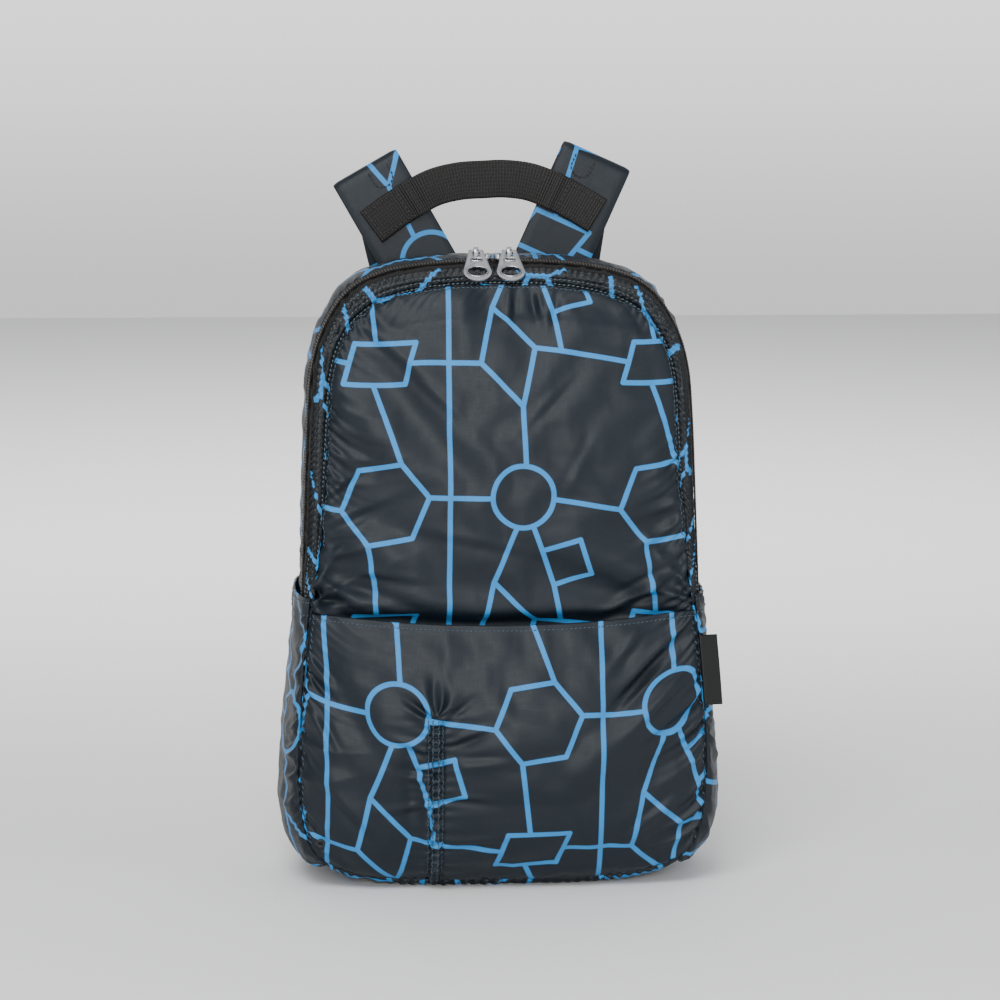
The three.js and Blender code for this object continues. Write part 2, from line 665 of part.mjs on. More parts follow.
// A tab sewn in the back seam stands out past the side, and the webbing is sewn flat on the back of it.
const tabSeam = seams(ringAtHeight("backZ", anchorHeight)).back;
const tabY = tabSeam.y + clothWall + seamGap;
function tabGeometry(side, outward) {
  const [low, high] = [tabSeam.z - tabRootHeight / 2, tabSeam.z + tabRootHeight / 2];
  const [near, far] = [tabSeam.x - tabOverlap, tabSeam.x + outward];
  const tip = 0.5 * (tabRootHeight - webbingWidth);
  const shape = new THREE.Shape([
    new THREE.Vector2(side * near, low),
    new THREE.Vector2(side * far, low + tip),
    new THREE.Vector2(side * far, high - tip),
    new THREE.Vector2(side * near, high),
  ]);
  return new THREE.ExtrudeGeometry(shape, { depth: webbingThickness, bevelEnabled: false })
    .translate(0, 0, -webbingThickness / 2)
    .rotateX(Math.PI / 2)
    .translate(0, tabY, 0);
}

// The webbing runs from the tab to the lock, over the lock's middle bar and down as a loose tail.
function webbingGeometry(side, outward) {
  const bar = new THREE.Vector3(strapEndX, lockY, lockTop - lockHeight / 2);
  const turn = Math.hypot(lockBar / 2, lockThickness / 2) + 3 * seamGap + webbingThickness / 2;
  const onTab = tabY + webbingThickness + 1.5 * seamGap;
  const start = new THREE.Vector3(tabSeam.x + 0.5 * outward, onTab, tabSeam.z - 0.2 * tabRootHeight);
  const towards = new THREE.Vector3(bar.x, onTab, bar.z).sub(start).normalize();
  const overBar = shares(0, 1, 6).map((share) => {
    const angle = Math.PI * share;
    return new THREE.Vector3(bar.x, bar.y - turn * Math.cos(angle), bar.z + turn * Math.sin(angle));
  });
  const under = bar.z - 0.6 * lockHeight;
  const points = [
    start,
    moved(start, towards, 0.8 * tabRootHeight),
    moved(start, towards, 1.5 * tabRootHeight).setY(onTab + 2 * webbingThickness),
    new THREE.Vector3(bar.x, bar.y - turn, under).lerp(start, 0.3).setY(mix(onTab, bar.y - turn, 0.7)),
    new THREE.Vector3(bar.x, bar.y - turn, under),
    ...overBar,
    new THREE.Vector3(bar.x, bar.y + turn, under),
    new THREE.Vector3(bar.x, bar.y + turn + 2 * webbingThickness, under - tailLength),
  ];
  const curve = new THREE.CatmullRomCurve3(points, false, "centripetal");
  const level = new THREE.Vector3(1, 0, 0);
  const stations = shares(0, 1, 40).map((share) => {
    const along = curve.getTangentAt(share);
    const across = moved(level, along, -along.x).normalize();
    return { point: curve.getPointAt(share), across, facing: new THREE.Vector3().crossVectors(across, along) };
  });
  return bandAlong(mirrored(stations, side), webbingWidth, webbingThickness);
}

// The label: a folded tape that stands out of the right front seam.
function labelGeometry() {
  const sweep = radians(labelSweep);
  const out = new THREE.Vector3(Math.cos(sweep), Math.sin(sweep), 0);
  const face = new THREE.Vector3(Math.sin(sweep), -Math.cos(sweep), 0);
  const bend = (share) => labelBend * Math.sin(Math.PI * share);
  const labelTop = pocketHeight - labelDrop;
  const rows = shares(labelTop - labelHeight, labelTop, 4).map((z) => {
    const seam = seams(ringAtHeight("frontZ", z)).front;
    return sunk(seam, -(clothWall + seamGap)).setZ(z);
  });
  const layer = (height) =>
    rows.map((root) =>
      shares(0, 1, 4).map((share) => moved(moved(root, out, labelReach * share), face, height + bend(share))),
    );
  return shell(layer(labelThickness / 2), layer(-labelThickness / 2));
}

// The sliders' seat: where the pulls' axis crosses the middle of the bag, and how the zip is tilted there.
const sliderSeat = (() => {
  const base = wallPoint(topRow, zipCoilShare);
  const along = wallPoint(topRow, zipCoilShare + 0.01).sub(wallPoint(topRow, zipCoilShare - 0.01));
  const tilt = Math.atan2(along.z, along.y);
  const up = new THREE.Vector3(0, -Math.sin(tilt), Math.cos(tilt));
  const foot = moved(base, inward(base).negate(), seamGap + coilHeight).addScaledVector(up, seamGap);
  return { tilt, axis: moved(foot, up, sliderPlate + bridgeRise) };
})();

// A slider is one casting: a plate tapered to its nose, a raised rib and a bridge over the pull's bar.
// Its own frame has the bar's axis as X, +Z off the zip and the meeting point at X 0.
function sliderGeometry() {
  const half = sliderWidth / 2;
  const [near, far] = [sliderNoseGap, sliderNoseGap + sliderLength];
  const foot = -bridgeRise - sliderPlate;
  const profile = new THREE.Shape();
  profile.moveTo(-bridgeOuter, foot + sliderPlate / 2);
  profile.lineTo(bridgeOuter, foot + sliderPlate / 2);
  profile.lineTo(bridgeOuter, 0);
  profile.absarc(0, 0, bridgeOuter, 0, Math.PI, false);
  profile.closePath();
  const eye = new THREE.Path();
  eye.moveTo(bridgeInner, -bridgeRise);
  eye.lineTo(bridgeInner, 0);
  eye.absarc(0, 0, bridgeInner, 0, Math.PI, false);
  eye.lineTo(-bridgeInner, -bridgeRise);
  eye.closePath();
  profile.holes.push(eye);
  const acrossZip = new THREE.Matrix4().makeBasis(
    new THREE.Vector3(0, 1, 0),
    new THREE.Vector3(0, 0, 1),
    new THREE.Vector3(1, 0, 0),
  );
  const arch = { depth: bridgeWidth, bevelEnabled: false, curveSegments: 6 };
  const bridge = new THREE.ExtrudeGeometry(profile, arch)
    .translate(0, 0, -bridgeWidth / 2)
    .applyMatrix4(acrossZip)
    .translate(pullSpread, 0, 0);
  const plateRim = [
    [near, 0.35 * half],
    [near + 0.35 * sliderLength, half],
    [far - 0.2 * sliderLength, 0.9 * half],
    [far, 0.55 * half],
  ];
  const ribHalf = 0.5 * half;
  const pullHalf = mix(pullTopWidth, pullBottomWidth, (ribHalf + pullThickness) / pullOvalReach) / 2;
  const ribEnd = pullSpread - pullHalf - pullClearance;
  const ribRim = [
    [near, 0.25 * half],
    [near + 0.6 * (ribEnd - near), ribHalf],
    [ribEnd, ribHalf],
  ];
  const plate = slab(plateRim, foot, sliderPlate);
  const rib = slab(ribRim, foot + sliderPlate / 2, sliderPlate / 2 + sliderRib);
  return joined([plate, bridge, rib]);
}

// A flat plate with a symmetric outline, given as the half width at each place along it.
function slab(halfWidths, low, thickness) {
  const rim = [...halfWidths, ...halfWidths.map(([x, y]) => [x, -y]).reverse()];
  const shape = new THREE.Shape(rim.map(([x, y]) => new THREE.Vector2(x, y)));
  return new THREE.ExtrudeGeometry(shape, { depth: thickness, bevelEnabled: false }).translate(0, 0, low);
}

// The pull lies in its own XY plane, with its bar's axis at the origin and its foot towards -Y.
function pullGeometry() {
  const shape = new THREE.Shape();
  const [top, bottom] = [pullTopWidth / 2, pullBottomWidth / 2];
  const round = 0.45 * (pullLength - pullOvalReach);
  shape.moveTo(-top + pullBarRadius, pullBarRadius);
  shape.lineTo(top - pullBarRadius, pullBarRadius);
  shape.quadraticCurveTo(top, pullBarRadius, top, -pullBarRadius);
  shape.lineTo(bottom, -pullOvalReach);
  shape.bezierCurveTo(bottom, -pullLength + round, 0.62 * bottom, -pullLength, 0, -pullLength);
  shape.bezierCurveTo(-0.62 * bottom, -pullLength, -bottom, -pullLength + round, -bottom, -pullOvalReach);
  shape.lineTo(-top, -pullBarRadius);
  shape.quadraticCurveTo(-top, pullBarRadius, -top + pullBarRadius, pullBarRadius);
  const eyeHalf = (pullEyeReach - pullBarRadius) / 2;
  shape.holes.push(roundedBox(0, -pullBarRadius - eyeHalf, pullEyeWidth / 2, eyeHalf, 0.45 * eyeHalf));
  const slotHalf = pullSlotHeight / 2;
  shape.holes.push(roundedBox(0, -pullSlotReach, pullSlotWidth / 2, slotHalf, 0.96 * slotHalf));
  const oval = new THREE.Path();
  oval.absellipse(0, -pullOvalReach, pullOvalWidth / 2, pullOvalHeight / 2, 0, 2 * Math.PI, false, 0);
  shape.holes.push(oval);
  return new THREE.ExtrudeGeometry(shape, { depth: pullThickness, bevelEnabled: false, curveSegments: 5 })
    .translate(0, 0, -pullThickness / 2);
}

// The pulls hang forward until they meet the band below the zip or the plate's edge, whichever comes first.
const pullDrop = (() => {
  const { tilt, axis } = sliderSeat;
  const reach = pullThickness / 2 + pullClearance;
  const below = (point) => {
    const [ahead, down] = [axis.y - point.y, axis.z - point.z];
    return Math.atan2(down, ahead) - Math.asin(reach / Math.hypot(ahead, down));
  };
  const edge = new THREE.Vector3(0, -sliderWidth / 2, -bridgeRise);
  edge.applyAxisAngle(new THREE.Vector3(1, 0, 0), tilt);
  const wall = shares(0, zipFrontShare, 4).map((share) => below(wallPoint(topRow, share)));
  return Math.min(...wall, below(edge.add(axis)));
})();

function joined(geometries) {
  const solids = geometries.map((geometry) => {
    const plain = geometry.clone();
    plain.deleteAttribute("normal");
    plain.deleteAttribute("uv");
    const merged = mergeVertices(plain, 1e-4);
    const mesh = new wasm.Mesh({
      numProp: 3,
      vertProperties: new Float32Array(merged.attributes.position.array),
      triVerts: new Uint32Array(merged.index.array),
    });
    return new wasm.Manifold(mesh);
  });
  const whole = solids.reduce((sum, solid) => sum.add(solid)).getMesh();
  const geometry = new THREE.BufferGeometry();
  geometry.setAttribute("position", new THREE.BufferAttribute(whole.vertProperties.slice(), 3));
  geometry.setIndex(Array.from(whole.triVerts));
  return geometry;
}

const cloth = new THREE.MeshStandardMaterial({ color: 0x2e353d, roughness: 0.5, metalness: 0 });
const plainCloth = new THREE.MeshStandardMaterial({ color: 0x23282f, roughness: 0.6, metalness: 0 });
const webbing = new THREE.MeshStandardMaterial({ color: 0x1b1918, roughness: 0.85, metalness: 0 });
const zipBlack = new THREE.MeshStandardMaterial({ color: 0x1c1a19, roughness: 0.7, metalness: 0 });
const zinc = new THREE.MeshStandardMaterial({ color: 0xa9abad, roughness: 0.35, metalness: 1 });
const plastic = new THREE.MeshStandardMaterial({ color: 0x141414, roughness: 0.4, metalness: 0 });

const bag = new THREE.Group();
function add(name, geometry, material) {
  const mesh = new THREE.Mesh(geometry, material);
  mesh.name = name;
  bag.add(mesh);
  return mesh;
}

add("front_panel", panelGeometry(frontPoint, panelColumns, panelRows), cloth);
add("front_pocket", panelGeometry(pocketPoint, panelColumns, pocketRows), cloth);
add("back_panel", panelGeometry(backPoint, panelColumns, panelRows / 2), plainCloth);
add("front_band", bandGeometry(), cloth);
add("main_zip_tape", tapeGeometry(), zipBlack);
add("main_zip_coil", coilGeometry(), zipBlack);
add("gusset", gussetGeometry(), cloth);
add("base_gusset", baseGeometry(), cloth);
add("front_pocket_zip", pocketZipGeometry(), zipBlack);
add("handle", leant(handleGeometry()), webbing);
add("side_label", labelGeometry(), webbing);

const sides = [
  { name: "left", side: -1, outward: tabReachLeft },
  { name: "right", side: 1, outward: tabReachRight },
];
for (const { name, side, outward } of sides) {
  add("side_pocket_" + name, sidePocketGeometry(side), cloth);
  add("strap_" + name, leant(bandAlong(mirrored(strapRun, side), strapWidth, strapThickness)), cloth);
  const lock = add("ladder_lock_" + name, lockGeometry(), plastic);
  lock.position.set(side * strapEndX, lockY, lockTop - lockHeight / 2);
  add("webbing_" + name, webbingGeometry(side, outward), webbing);
  add("strap_tab_" + name, tabGeometry(side, outward), webbing);
  const slider = add("slider_" + name, sliderGeometry(), zinc);
  slider.position.set(parkX, sliderSeat.axis.y, sliderSeat.axis.z);
  slider.rotation.set(sliderSeat.tilt, 0, side < 0 ? Math.PI : 0, "XYZ");
  const pull = add("pull_" + name, pullGeometry(), zinc);
  pull.position.set(parkX + side * pullSpread, sliderSeat.axis.y, sliderSeat.axis.z);
  pull.rotation.set(pullDrop, 0, 0);
}

export default bag;
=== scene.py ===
import json
import math

import bmesh
import bpy
import numpy as np
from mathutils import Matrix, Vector


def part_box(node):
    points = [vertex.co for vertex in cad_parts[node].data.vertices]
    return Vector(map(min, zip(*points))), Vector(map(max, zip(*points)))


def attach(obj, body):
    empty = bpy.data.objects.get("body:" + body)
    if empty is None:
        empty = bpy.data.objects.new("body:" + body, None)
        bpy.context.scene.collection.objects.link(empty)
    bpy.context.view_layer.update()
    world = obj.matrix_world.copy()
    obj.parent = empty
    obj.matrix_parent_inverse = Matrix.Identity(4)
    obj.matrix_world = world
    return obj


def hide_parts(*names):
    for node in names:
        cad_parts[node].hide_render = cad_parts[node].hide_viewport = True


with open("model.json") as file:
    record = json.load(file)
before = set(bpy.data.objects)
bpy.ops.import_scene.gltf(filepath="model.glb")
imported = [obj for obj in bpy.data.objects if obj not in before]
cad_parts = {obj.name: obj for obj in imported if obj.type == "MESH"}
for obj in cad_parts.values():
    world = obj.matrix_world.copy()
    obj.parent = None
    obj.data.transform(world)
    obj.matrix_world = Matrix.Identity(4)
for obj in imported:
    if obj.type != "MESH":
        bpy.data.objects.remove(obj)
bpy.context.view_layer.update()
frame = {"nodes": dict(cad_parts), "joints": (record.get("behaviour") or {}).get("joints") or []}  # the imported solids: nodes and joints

scene = bpy.context.scene

# the bag's driving sizes in metres, as its solids have them
bag = {
    "height": 0.435,
    "halfWidth": 0.140,
    "frontDepth": 0.068,
    "backDepth": 0.060,
    "frontPuff": 0.021,
    "hiddenPuff": 0.003,
    "backPuff": 0.008,
    "pocketHeight": 0.187,
    "pocketCornerRise": 0.008,
    "pocketPuff": 0.036,
    "pocketMouthDepth": 0.42,
    "floorClearance": 0.0004,
    "sidePocketHeight": 0.204,
    "sidePocketPuff": 0.017,
    "sidePocketMouth": 0.007,
    "sidePocketLow": 2.7,
    "sidePocketEdge": 0.06,
    "zipEndHeight": 0.198,
    "zipEndGap": 0.02,
    "zipFrontShare": 0.215,
    "zipCoilShare": 0.3,
    "zipRearShare": 0.385,
    "bottomCorner": 3.2,
    "topCorner": 11.3,
    "cloth": 0.0012,
    "clothDrawn": 0.8,  # how much of the solids' wall the cloth that shows takes up
    "gap": 0.0003,
}

# half of the outline, from the middle of the base round the side to the middle of the top, as shares
outlineColumns = ["wideX", "wideZ", "frontX", "frontZ", "frontY", "backX", "backZ", "backY"]
outlineRows = np.array([
    [0.0, -0.008, 0.0, 0.012, 0.88, 0.0, 0.02, 0.8],
    [0.43, -0.007, 0.43, 0.014, 0.88, 0.42, 0.021, 0.8],
    [0.74, 0.008, 0.74, 0.026, 0.89, 0.72, 0.03, 0.82],
    [0.915, 0.042, 0.915, 0.06, 0.93, 0.89, 0.062, 0.87],
    [0.995, 0.105, 0.98, 0.12, 0.98, 0.96, 0.122, 0.93],
    [1.008, 0.215, 0.998, 0.222, 1.0, 0.976, 0.226, 0.97],
    [0.99, 0.402, 0.955, 0.406, 1.0, 0.956, 0.406, 1.0],
    [0.98, 0.592, 0.885, 0.59, 0.97, 0.94, 0.588, 1.0],
    [0.962, 0.757, 0.853, 0.745, 0.925, 0.922, 0.751, 0.985],
    [0.936, 0.839, 0.832, 0.822, 0.895, 0.893, 0.83, 0.97],
    [0.868, 0.903, 0.778, 0.875, 0.866, 0.826, 0.887, 0.96],
    [0.75, 0.957, 0.678, 0.915, 0.838, 0.71, 0.938, 0.95],
    [0.571, 0.985, 0.52, 0.942, 0.81, 0.542, 0.965, 0.95],
    [0.3, 0.998, 0.278, 0.957, 0.794, 0.285, 0.979, 0.95],
    [0.0, 1.0, 0.0, 0.96, 0.78, 0.0, 0.981, 0.95],
])
topRow = len(outlineRows) - 1
columnScale = {
    "X": bag["halfWidth"],
    "Z": bag["height"],
    "frontY": -bag["frontDepth"],
    "backY": bag["backDepth"],
}


def mix(a, b, share):
    return a + (b - a) * share


def ease(share):
    s = np.clip(share, 0, 1)
    return s * s * (3 - 2 * s)


def unit(vectors):
    return vectors / np.maximum(np.linalg.norm(vectors, axis=-1, keepdims=True), 1e-12)


def curved(a, b, c, d, t):  # the smooth curve from b to c, with a and d as its neighbours
    return b + 0.5 * t * (c - a + t * (2 * a - 5 * b + 4 * c - d + t * (3 * (b - c) + d - a)))


def runLength(line):  # how far each point of a line lies along it
    return np.concatenate([[0], np.cumsum(np.linalg.norm(np.diff(line, axis=0), axis=1))])


def span(count):
    return np.linspace(0, 1, count)


def sceneObject(name, data):
    obj = bpy.data.objects.new(name, data)
    scene.collection.objects.link(obj)
    return obj


def outlineValue(name, place):  # smooth through the rows, mirrored past both ends
    column = outlineRows[:, outlineColumns.index(name)]
    odd = -1 if name.endswith("X") else 1
    column = np.concatenate([[odd * column[1]], column, [odd * column[-2]]])
    first = np.clip(np.floor(place).astype(int), 0, topRow - 1)
    t = place - first
    a, b, c, d = (column[first + step] for step in range(4))
    return curved(a, b, c, d, t) * columnScale.get(name, columnScale.get(name[-1]))


def seams(ring):  # front seam, back seam and widest line at places on the ring: 0 base, topRow top
    wrapped = np.mod(ring, 2 * topRow)
    right = wrapped <= topRow
    side = np.where(right, 1.0, -1.0)
    place = np.where(right, wrapped, 2 * topRow - wrapped)
    value = {name: outlineValue(name, place) for name in outlineColumns}
    front = np.stack([side * value["frontX"], value["frontY"], value["frontZ"]], -1)
    back = np.stack([side * value["backX"], value["backY"], value["backZ"]], -1)
    return front, back, np.stack([side * value["wideX"], value["wideZ"]], -1)


def wallPoint(ring, share):  # the side wall, from the front seam (0) to the back seam (1)
    front, back, wide = seams(ring)
    angle = np.pi * share
    seam = np.where((share < 0.5)[..., None], front, back)
    swell = np.sin(angle)
    x = mix(seam[..., 0], wide[..., 0], swell)
    y = mix(front[..., 1], back[..., 1], (1 - np.cos(angle)) / 2)
    z = mix(seam[..., 2], wide[..., 1], swell)
    return np.stack([x, y, np.maximum(0, z)], -1)


def inward(points):  # towards the nearest point of a block in the middle of the bag
    low = np.array([-0.57 * bag["halfWidth"], -0.3 * bag["frontDepth"], 0.14 * bag["height"]])
    high = np.array([0.57 * bag["halfWidth"], 0.3 * bag["backDepth"], 0.82 * bag["height"]])
    return unit(np.clip(points, low, high) - points)


def ringAtHeight(name, height):
    places = np.linspace(2, topRow - 2, 4000)
    return float(np.interp(height, outlineValue(name, places), places))


def evenPlaces(start, end, shares):  # places on the ring at even shares of the front seam's length
    places = np.linspace(start, end, 1200)
    along = runLength(seams(places)[0])
    return np.interp(np.asarray(shares) * along[-1], along, places)


def patch(bottom, right, top, left):  # a surface between four curves, as a grid of rows and columns
    u = np.linspace(0, 1, len(bottom))[None, :, None]
    v = np.linspace(0, 1, len(left))[:, None, None]
    ruled = bottom[None] * (1 - v) + top[None] * v + left[:, None] * (1 - u) + right[:, None] * u
    low = bottom[0] * (1 - u) + bottom[-1] * u
    high = top[0] * (1 - u) + top[-1] * u
    return ruled - low * (1 - v) - high * v


# long soft folds: x and z as shares of half width and height, lengths and widths of height, depths of puff
foldColumns = ["x", "z", "degrees", "length", "width", "depth"]
panelFolds = [
    [-0.5, 0.79, -50, 0.12, 0.032, -0.16],
    [-0.62, 0.73, -46, 0.1, 0.03, 0.14],
    [-0.72, 0.6, -22, 0.09, 0.032, -0.16],
    [-0.6, 0.55, -38, 0.11, 0.034, 0.2],
    [-0.76, 0.5, -30, 0.1, 0.03, -0.2],
    [-0.5, 0.475, -14, 0.14, 0.028, 0.16],
    [0.74, 0.58, 10, 0.09, 0.03, -0.14],
    [0.66, 0.51, -26, 0.12, 0.032, 0.2],
    [0.5, 0.475, -20, 0.12, 0.028, -0.16],
    [0.12, 0.9, 86, 0.06, 0.03, -0.12],
    [-0.2, 0.91, 96, 0.05, 0.028, 0.1],
]
pocketFolds = [
    [0.78, 0.35, 38, 0.12, 0.03, -0.2],
    [0.68, 0.29, 42, 0.14, 0.032, 0.22],
    [0.84, 0.24, 50, 0.1, 0.03, -0.2],
    [-0.8, 0.32, -60, 0.1, 0.03, -0.18],
    [-0.84, 0.17, -72, 0.12, 0.032, 0.18],
    [-0.45, 0.13, 90, 0.15, 0.026, -0.24],
    [-0.28, 0.24, 36, 0.07, 0.028, -0.12],
    [0.2, 0.06, 8, 0.16, 0.03, -0.16],
]

# sharper creases that show on the cloth alone, each a ridge beside a valley
panelCreases = [
    [-0.546, 0.857, -37, 0.075, 0.009, 0.05],
    [-0.382, 0.802, -43, 0.06, 0.009, 0.05],
    [-0.747, 0.6, 24, 0.05, 0.011, 0.11],
    [-0.79, 0.645, 38, 0.04, 0.01, -0.09],
    [-0.782, 0.554, 13, 0.05, 0.011, -0.12],
    [-0.832, 0.476, -27, 0.05, 0.011, 0.14],
    [-0.87, 0.455, -31, 0.045, 0.01, -0.14],
    [-0.66, 0.475, -17, 0.06, 0.011, -0.1],
    [-0.6, 0.505, -8, 0.07, 0.01, 0.06],
    [0.647, 0.464, 26, 0.06, 0.011, 0.13],
    [0.704, 0.492, 33, 0.055, 0.011, -0.13],
    [0.76, 0.561, 29, 0.04, 0.01, 0.1],
    [0.8, 0.62, 15, 0.035, 0.01, -0.08],
    [0.046, 0.931, 85, 0.022, 0.008, 0.1],
    [0.168, 0.928, 100, 0.02, 0.008, -0.1],
    [0.239, 0.92, 80, 0.024, 0.008, 0.08],
    [0.218, 0.777, 45, 0.05, 0.009, 0.05],
    [0.35, 0.68, 62, 0.05, 0.01, -0.035],
    [-0.16, 0.56, -12, 0.09, 0.011, 0.04],
]
pocketCreases = [
    [0.73, 0.371, 45, 0.065, 0.011, 0.14],
    [0.673, 0.336, 43, 0.06, 0.011, -0.12],
    [0.775, 0.305, 42, 0.06, 0.011, 0.12],
    [0.84, 0.266, 35, 0.045, 0.01, -0.12],
    [0.6, 0.385, 50, 0.04, 0.01, 0.08],
    [-0.277, 0.296, 37, 0.03, 0.008, 0.13],
    [-0.4, 0.293, -35, 0.03, 0.008, -0.13],
    [-0.335, 0.322, 88, 0.022, 0.009, 0.1],
    [-0.19, 0.258, 20, 0.032, 0.008, 0.11],
    [-0.145, 0.222, 4, 0.04, 0.009, -0.09],
    [-0.445, 0.239, -24, 0.03, 0.008, 0.1],
    [-0.43, 0.197, -12, 0.032, 0.008, -0.09],
    [-0.2, 0.16, -6, 0.036, 0.008, 0.08],
    [-0.45, 0.14, 8, 0.036, 0.008, 0.07],
    [-0.16, 0.084, 5, 0.045, 0.009, 0.08],
    [-0.9, 0.343, -50, 0.035, 0.009, 0.12],
    [-0.88, 0.27, -62, 0.035, 0.009, -0.1],
    [-0.75, 0.13, -48, 0.05, 0.01, 0.07],
    [0.7, 0.12, 40, 0.06, 0.011, -0.07],
]


def foldDepth(table, points, puff, creased=False):
    total = np.zeros(points.shape[:-1])
    for row in table:
        fold = dict(zip(foldColumns, row))
        x = points[..., 0] - fold["x"] * bag["halfWidth"]
        z = points[..., 2] - fold["z"] * bag["height"]
        cosine, sine = math.cos(math.radians(fold["degrees"])), math.sin(math.radians(fold["degrees"]))
        along = (x * cosine + z * sine) / (fold["length"] * bag["height"])
        across = (z * cosine - x * sine) / (fold["width"] * bag["height"])
        shape = 2 * across if creased else 1
        total += shape * fold["depth"] * puff * np.exp(-along**2 - across**2)
    return total


def mouthHeight(x):
    return bag["pocketHeight"] + bag["pocketCornerRise"] * (x / bag["halfWidth"]) ** 2


def seamPatch(which, us, vs):  # the patch between the four stretches of one seam
    low, high = bag["bottomCorner"], bag["topCorner"]
    side = lambda start, end, shares: seams(evenPlaces(start, end, shares))[which]
    return patch(
        side(-low, low, us),
        side(low, high, vs),
        side(2 * topRow - high, high, us),
        side(-low, -high, vs),
    )


def warped(shares):  # the patch formula needs even steps, so uneven rows are read between even ones
    return np.linspace(0, 1, 161), shares


def readRows(grid, rows, wanted):
    flat = grid.reshape(len(rows), -1)
    out = np.stack([np.interp(wanted, rows, flat[:, i]) for i in range(flat.shape[1])], -1)
    return out.reshape((len(wanted),) + grid.shape[1:])


def frontSurface(us, vs):
    even, wanted = warped(vs)
    points = readRows(seamPatch(0, us, even), even, wanted)
    u, v = us[None, :], wanted[:, None]
    top = float(outlineValue("frontZ", np.array(float(topRow))))
    x, z = points[..., 0], points[..., 2]
    across = np.sin(np.pi * u) ** 0.62
    rise = (z - mouthHeight(x)) / (top - mouthHeight(x))
    pillow = np.where(rise > 0, np.sin(np.pi * np.clip(0.985 * rise, 0, 1)) ** 0.66, 0)
    edge = np.minimum(1, np.sin(np.pi * v) * 4) ** 0.6
    folds = foldDepth(panelFolds, points, bag["frontPuff"]) * np.minimum(1, 3 * across * pillow)
    hidden = bag["hiddenPuff"] * across * (1 - ease(8 * rise))
    points[..., 1] -= edge * (bag["frontPuff"] * across * pillow + hidden) + np.where(rise > 0, folds, 0)
    behind = 1 - ease((z - mouthHeight(x)) / (6 * bag["cloth"]))
    return points + inward(points) * (behind * (bag["cloth"] + 2 * bag["gap"]))[..., None]


pocketCornerRing = ringAtHeight("frontZ", mouthHeight(bag["halfWidth"] * 0.96))


def pocketSurface(us, vs):
    low = bag["bottomCorner"]
    left, right = seams(np.array([-pocketCornerRing, pocketCornerRing]))[0]
    mouthX = mix(left[0], right[0], us)
    mouthZ = mix(mouthHeight(mouthX), left[2], np.abs(2 * us - 1) ** 6)
    mouth = np.stack([mouthX, np.full_like(us, left[1]), mouthZ], -1)
    points = patch(
        seams(evenPlaces(-low, low, us))[0],
        seams(evenPlaces(low, pocketCornerRing, vs))[0],
        mouth,
        seams(evenPlaces(-low, -pocketCornerRing, vs))[0],
    )
    u, v = us[None, :], vs[:, None]
    across = np.sin(np.pi * u) ** 0.55
    up = np.sin(np.pi * np.clip(0.86 * v, 0, 1)) ** 0.62
    folds = foldDepth(pocketFolds, points, bag["frontPuff"])
    folds *= np.minimum(1, 4 * across * np.sin(np.pi * v) ** 0.5)
    full = bag["pocketPuff"] * up * mix(1, bag["pocketMouthDepth"] / 0.6, ease((v - 0.55) / 0.45))
    points[..., 1] -= across * full + folds
    sag = 0.012 * bag["height"] * across * np.sin(np.pi * np.minimum(1, 3 * v))
    points[..., 2] = np.maximum(bag["floorClearance"], points[..., 2] - sag)
    return points


def backSurface(us, vs):
    points = seamPatch(1, us, vs)
    u, v = us[None, :], vs[:, None]
    points[..., 1] += bag["backPuff"] * np.sin(np.pi * u) ** 0.6 * np.sin(np.pi * v) ** 0.6
    return points


def wallSurface(start, end, low, high, columns, rows, lift=None):  # a strip of the side wall
    rings = evenPlaces(start, end, np.linspace(0, 1, columns))
    shares = np.linspace(low, high, rows)
    ring, share = np.meshgrid(rings, shares)
    points = wallPoint(ring, share)
    if lift is not None:
        points = points - inward(points) * lift(ring, share)[..., None]
    return points


def latticeNoise(x, y, size, seed):  # smooth noise from -1 to 1 on a lattice of the given size
    table = np.random.default_rng(seed).uniform(-1, 1, (64, 64))
    gx, gy = x / size, y / size
    ix, iy = np.floor(gx).astype(int), np.floor(gy).astype(int)
    fx, fy = ease(gx - ix), ease(gy - iy)
    at = lambda i, j: table[np.mod(iy + j, 64), np.mod(ix + i, 64)]
    return mix(mix(at(0, 0), at(1, 0), fx), mix(at(0, 1), at(1, 1), fx), fy)


def arcLengths(grid):  # the length along each row from its start, and up each column from its foot
    rows, columns = grid.shape[:2]
    step = np.linalg.norm(np.diff(grid, axis=1), axis=2)
    along = np.concatenate([np.zeros((rows, 1)), np.cumsum(step, axis=1)], axis=1)
    step = np.linalg.norm(np.diff(grid, axis=0), axis=2)
    up = np.concatenate([np.zeros((1, columns)), np.cumsum(step, axis=0)], axis=0)
    return along, up


def gridNormals(grid):
    normals = unit(np.cross(np.gradient(grid, axis=1), np.gradient(grid, axis=0)))
    return normals if (normals * -inward(grid)).sum() > 0 else -normals


def refined(grid, factor):  # more rows and columns on a smooth curve through the old ones
    for axis in (0, 1):
        grid = np.moveaxis(grid, axis, 0)
        count = len(grid)
        place = np.linspace(0, count - 1, (count - 1) * factor + 1)
        first = np.clip(np.floor(place).astype(int), 0, count - 2)
        t = (place - first)[:, None, None]
        rows = np.concatenate([[2 * grid[0] - grid[1]], grid, [2 * grid[-1] - grid[-2]]])
        a, b, c, d = (rows[first + step] for step in range(4))
        grid = np.moveaxis(curved(a, b, c, d, t), 0, axis)
    return grid


